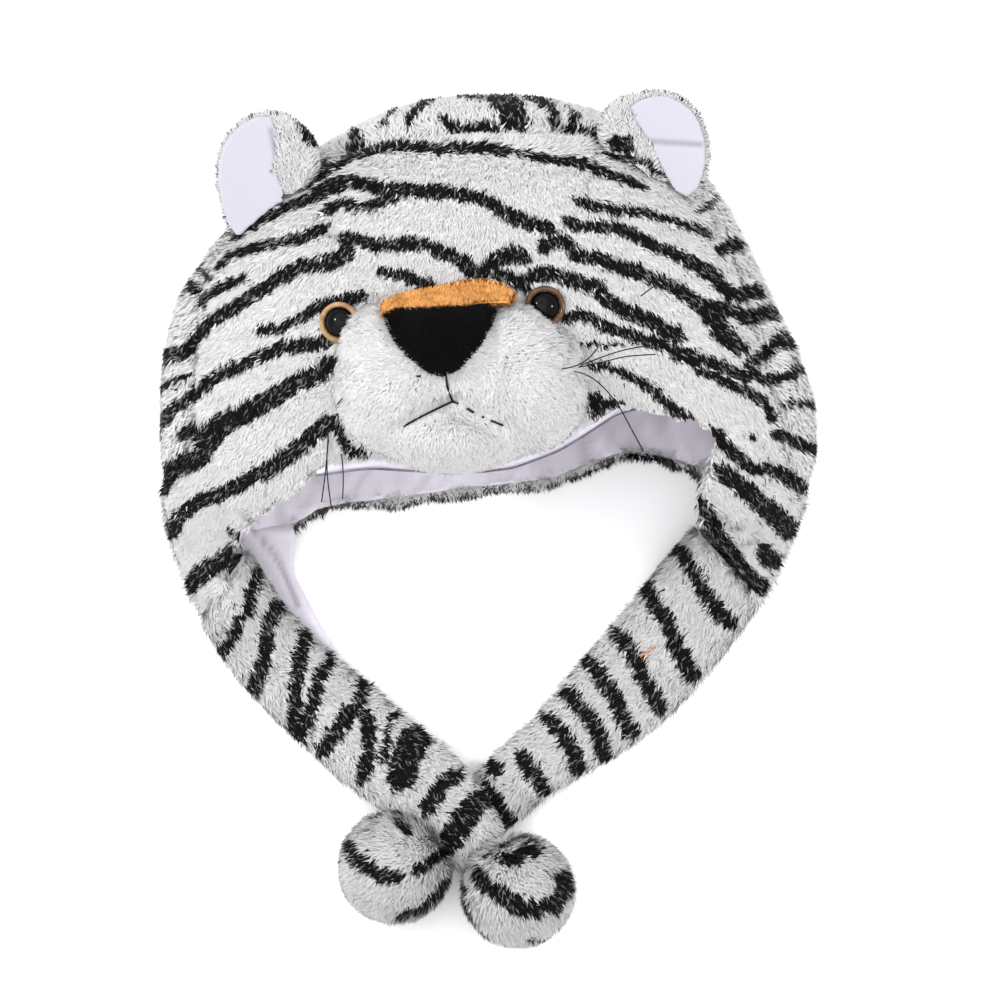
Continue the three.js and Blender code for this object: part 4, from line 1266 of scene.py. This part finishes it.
def make_hem(skins):
    line = finer(HEM_LINE, 5.0)
    onward = np.gradient(line, axis=0)
    onward /= np.linalg.norm(onward, axis=1)[:, None]
    rise = np.stack([onward[:, 1], -onward[:, 0]], axis=1) * HEM_RISE
    fades = [min(1.0, 0.25 + 0.18 * min(n, len(line) - 1 - n)) for n in range(len(line))]
    bm = bmesh.new()
    rows = []
    for share, stand in HEM_ROWS:
        row = []
        inner = [spot + rise[n] * max(share, 0.3) * fades[n] for n, spot in enumerate(line)]
        high = evened([height_over(skins, *on_hat(*spot), EDGE_HEIGHT) for spot in inner])
        for n, spot in enumerate(line):
            across, along = on_hat(*(spot + rise[n] * share * fades[n]))
            wave = 0.3 * math.sin(n * 0.9) + 0.2 * math.sin(n * 2.3)
            row.append(bm.verts.new((across, along, high[n] + (stand + wave) * MM)))
        rows.append(row)
    for lower, upper in zip(rows, rows[1:]):
        for a, b, c, d in zip(lower, lower[1:], upper[1:], upper):
            bm.faces.new((a, b, c, d))
    bmesh.ops.recalc_face_normals(bm, faces=bm.faces)
    if sum(face.normal.z for face in bm.faces) < 0:
        bmesh.ops.reverse_faces(bm, faces=bm.faces)
    bmesh.ops.solidify(bm, geom=list(bm.faces), thickness=HEM_THICK)
    bmesh.ops.recalc_face_normals(bm, faces=bm.faces)
    relax(bm, bm.verts, 2, 0.4)
    shade_round(bm.faces)
    dressed(new_piece(bm, "hem_strip"), hem_cloth, "lining_cloth")
    # A dark thread along the hem's lower edge stands in for the shadow where the strip turns under
    # into the lining: painted shadow.
    seam = []
    high = evened([height_over(skins, *on_hat(*(spot + rise[n] * 0.3)), EDGE_HEIGHT)
                   for n, spot in enumerate(line)])
    for n, spot in enumerate(line):
        across, along = on_hat(*(spot - rise[n] * 0.04))
        seam.append(Vector((across, along, high[n] + 0.3 * MM)))
    thread_piece("hem_shadow_line", [seam], HEM_SHADOW_RADIUS, "lining_cloth", painted_hem_shadow)


# Straps and their balls

LEFT_STRAP_WAY = [(-123, -104), (-97, -148), (-80, -165), (-64, -180), (-49, -193), (-30, -207),
                  (-13, -223), (-2, -240), (9, -251)]
RIGHT_STRAP_WAY = [(111, -94), (89, -129), (69, -154), (49, -175), (29, -192), (12, -205),
                   (-4, -220), (-21, -232), (-36, -240)]


def along_way(way):
    """A comb that follows a strap to its ball."""
    way = np.array(way, float) * MM

    def comb(points, outward):
        best = np.full(len(points), FAR_OFF)
        flow = np.zeros_like(points)
        for a, b in zip(way, way[1:]):
            step = b - a
            t = np.clip((points[:, :2] - a) @ step / (step @ step), 0, 1)
            off = np.linalg.norm(points[:, :2] - a - t[:, None] * step, axis=1)
            nearer = off < best
            best = np.where(nearer, off, best)
            flow[nearer, :2] = step / np.linalg.norm(step)
        return flow + np.array([0, 0, -0.1])

    return comb


def away_from(neck):
    """A comb that runs from a ball's neck round to its far side."""
    def comb(points, outward):
        flow = points - np.array(neck) * MM
        flow[:, 2] *= 0.4
        return flow

    return comb


def off_table(points, facings):
    return np.where(points[:, 2] < 3 * MM, 0.4, 1.0)


def reach_up(strap, cheek):
    """Brings a strap's wide end up to the lower edge of the cheek that it is sewn to."""
    edge = outside_of(*packed([cheek]))
    points = places_of(strap.data)
    found = np.array([edge.find_nearest(Vector(p))[0][:] for p in points])
    way = found[:, :2] - points[:, :2]
    flat = np.linalg.norm(way, axis=1)
    high = ease(points[:, 2], 5 * MM, 16 * MM)
    rise = (found[:, 2] - 1.5 * MM - points[:, 2]) * (1 - ease(flat, 1 * MM, 24 * MM)) * high
    shift = (flat + 1.5 * MM) * (1 - ease(flat, 1 * MM, 12 * MM)) * high
    points[:, :2] += unit(way) * shift[:, None]
    points[:, 2] += np.maximum(rise, 0)
    move_to(strap.data, points)
    soften(strap, 6)


def make_straps(skins):
    straps = (
        ("strap_left", "plush_strap_left", LEFT_STRAP_WAY, 600, "side_panel_left",
         LEFT_STRAP_DYE + spread(LEFT_CHEEK_STRIPES[-2:-1], 1.45)),
        ("strap_right", "plush_strap_right", RIGHT_STRAP_WAY, 650, "side_panel_right",
         RIGHT_STRAP_DYE),
    )
    for node, name, way, seed, cheek, stripes in straps:
        strap = skin_of([node], name, 2.6 * MM)
        reach_up(strap, cheek)
        draw_in(strap, 1.6 * MM)
        skins.append(outside_of(strap.data))
        plush_piece(strap, strap_plush, "striped_plush", [node], 32000, off_table,
                    along_way(way), stripes, seed=seed, length=5.4 * MM, ragged=1.25)


def make_balls():
    balls = (
        ("ball_left", "stuffed_ball_left", (-16, -226, 22), 700, LEFT_BALL_STRIPES),
        ("ball_right", "stuffed_ball_right", (5, -232, 30), 750, RIGHT_BALL_STRIPES),
    )
    for node, name, neck, seed, stripes in balls:
        ball = skin_of([node], name, 2 * MM, 5)
        draw_in(ball, PILE_HEIGHT)
        plush_piece(ball, strap_plush, "striped_plush", [node], 16000, off_table,
                    away_from(neck), spread(stripes, 1.25), length=5.6 * MM, lean=0.9,
                    seed=seed)


# Folds of the flap's lining, which run down from the crown's lining, darkened with painted shade.
FLAP_FOLDS = [[(254, 530), (266, 547), (274, 556), (284, 577), (296, 606)]]


def make_flap_lining():
    """The left flap's lower layer, with its upper end drawn up under the crown's lining."""
    flap = skin_of(["flap_lining_left"], "flap_lining", 1.2 * MM, 2)
    points = places_of(flap.data)
    top = ease(points[:, 1], -122 * MM, -105 * MM)
    right = ease(points[:, 0], -97 * MM, -87 * MM)
    points[:, 0] += (12 * right - 8) * MM * top
    points[:, 1] += 9 * MM * top
    points[:, 2] += 9 * MM * top + 1.2 * MM - 7 * MM * ease(points[:, 1], -102 * MM, -96 * MM)
    move_to(flap.data, points)
    fold_down(flap, FLAP_FOLDS, 0.9 * MM, 1.1 * MM)
    dressed_cloth(flap, lining_cloth, "lining_cloth", "flap_lining_left")


# Ears

def ear_comb(base):
    def comb(points, outward):
        flow = points - np.array([*base, 70]) * MM
        flow[:, 2] = 0
        return flow

    return comb


# Folds pressed into the smooth cloth of the ears, darkened with painted shade.
EAR_FOLDS = {
    "left": [[(272, 132), (276, 150), (278, 168), (283, 184)]],
    "right": [[(612, 116), (628, 130), (642, 142)], [(642, 142), (668, 144), (700, 146)],
              [(641, 142), (646, 156)]],
}


def make_ears():
    for side, base, seed in (("left", (-86, 28), 800), ("right", (66, 44), 850)):
        ear = skin_of(["ear_" + side], "plush_ear_" + side, 1.5 * MM, 3)
        draw_in(ear, 1.0 * MM)
        plush_piece(ear, striped_plush, "striped_plush", ["ear_" + side], 8000, everywhere,
                    ear_comb(base), spread(EAR_BACK_STRIPES, 1.5), length=3.6 * MM, lean=1.05,
                    width=0.55 * MM, seed=seed, lit_of=light_rim)
        inner = skin_of(["ear_inner_" + side], "ear_cloth_" + side, 0.7 * MM, 3)
        fold_down(inner, EAR_FOLDS[side], 0.8 * MM, 1.2 * MM)
        dressed_cloth(inner, ear_cloth, "ear_cloth", "ear_inner_" + side)


# Lining

def tuck_edge(lining):
    """Keeps the lining's front edge behind the edge of the plush."""
    points = places_of(lining.data)
    front = [(222, 585), (236, 552)] + FRONT_EDGE + [(709, 470), (703, 520), (722, 556)]
    near = 1 - ease(off_line(points, front), 3 * MM, 11 * MM)
    near *= ease(points[:, 2], 36 * MM, 46 * MM)
    low = ease(-points[:, 1], 60 * MM, 80 * MM)
    flaps = ease(-points[:, 1], 78 * MM, 100 * MM) * ease(points[:, 2], 12 * MM, 20 * MM)
    points[:, 0] += np.sign(points[:, 0]) * 2.4 * MM * near * low
    points[:, 1] += np.maximum(2.6 * MM * near, 3.8 * MM * flaps)
    move_to(lining.data, points)


# The longest edge of the finer lining, and how deep its creases are.
LINING_STEP = 4 * MM
CREASE_DEPTH = 1.8 * MM


def make_lining():
    """The inner cloth keeps its packed walls, finer, with soft creases towards the inside and painted
    shade in the dips between them.
    """
    lining = merged_copy(["lining"], "lining_shell")
    bm = opened(lining.data)
    for _ in range(4):
        long = [edge for edge in bm.edges if edge.calc_length() > LINING_STEP]
        bmesh.ops.subdivide_edges(bm, edges=long, cuts=1, use_grid_fill=True)
        bmesh.ops.triangulate(bm, faces=[face for face in bm.faces if len(face.verts) > 4])
    relax(bm, bm.verts, 2, 0.4)
    put_back(bm, lining.data)
    points = places_of(lining.data)
    creases = drift(points * np.array([1.0, 0.45, 0.5]), 21 * MM, 901)
    creases += 0.5 * drift(points * np.array([1.0, 0.7, 0.6]), 10 * MM, 902)
    fold = np.clip(0.3 + creases, 0, 1.8) ** 1.5
    move_to(lining.data, points - crown_outward(points) * (CREASE_DEPTH * fold)[:, None])
    # Painted shade: the lining is drawn darker where it sinks back between its creases.
    note(lining.data, "crease_shade", 0.6 * ease(-creases, 0.1, 1.2))
    lift_front(lining)
    tuck_edge(lining)
    dressed_cloth(lining, lining_cloth, "lining_cloth", "lining")


def make_loose_thread(skins):
    """A short orange thread that lies on the right strap."""
    spots = finer([(641, 658), (646, 652), (650, 653), (655, 647)], 3.0)
    high = evened([height_over(skins, *on_hat(*spot), 0.01) for spot in spots])
    places = [Vector((*on_hat(*spot), level + 3.0 * MM)) for spot, level in zip(spots, high)]
    thread_piece("loose_thread", [places], WHISKER_RADIUS, "orange_plush", thread_orange)


skins = make_crown()
cover = make_muzzle()
make_eyes()
make_stitches(cover)
make_whiskers([cover] + skins)
make_hem(skins)
make_straps(skins)
make_balls()
make_flap_lining()
make_loose_thread(skins)
make_ears()
make_lining()


# Table, light and camera

TABLE_HALF = 4
LAMP_AIM = Vector((0, -0.09, 0.03))


def make_table():
    bm = bmesh.new()
    bmesh.ops.create_grid(bm, x_segments=1, y_segments=1, size=TABLE_HALF)
    table = new_piece(bm, "table")
    material, _, _, shader = finish_of("table", 0.9)
    shader.inputs["Base Color"].default_value = (0.96, 0.96, 0.965, 1)
    shader.inputs["Specular IOR Level"].default_value = 0.1
    table.data.materials.append(material)


def soft_lamp(name, place, size, power):
    data = bpy.data.lights.new(name, "AREA")
    data.shape = "DISK"
    data.size = size
    data.energy = power
    lamp = bpy.data.objects.new(name, data)
    scene.collection.objects.link(lamp)
    lamp.location = place
    aim = LAMP_AIM - Vector(place)
    lamp.rotation_euler = aim.to_track_quat("-Z", "Y").to_euler()
    lamp.visible_camera = False


make_table()
soft_lamp("key_light", (-0.4, 0.6, 2.0), 3.0, 23)
soft_lamp("fill_light", (-0.7, -0.9, 1.7), 3.0, 16)
soft_lamp("left_light", (-1.32, 0.53, 1.46), 0.34, 16)
soft_lamp("right_light", (1.47, 0.0, 1.39), 0.32, 12)
world = bpy.data.worlds.new("studio")
world.use_nodes = True
world.node_tree.nodes["Background"].inputs["Color"].default_value = (1, 1, 1, 1)
world.node_tree.nodes["Background"].inputs["Strength"].default_value = 1.04
scene.world = world
scene.view_settings.view_transform = "Standard"

# The camera looks straight down: the whole chart fills the picture at the level of the face.
CAMERA_HEIGHT = 12
CHART_LEVEL = 0.06
CHART_SIZE = 1002
SENSOR = 36

camera_data = bpy.data.cameras.new("camera")
camera_data.sensor_width = SENSOR
camera_data.lens = SENSOR * (CAMERA_HEIGHT - CHART_LEVEL) / (CHART_SIZE * CHART_UNIT)
camera_data.clip_end = 100
camera = bpy.data.objects.new("camera", camera_data)
scene.collection.objects.link(camera)
camera.location = (*on_hat(CHART_SIZE / 2, CHART_SIZE / 2), CAMERA_HEIGHT)
scene.camera = camera
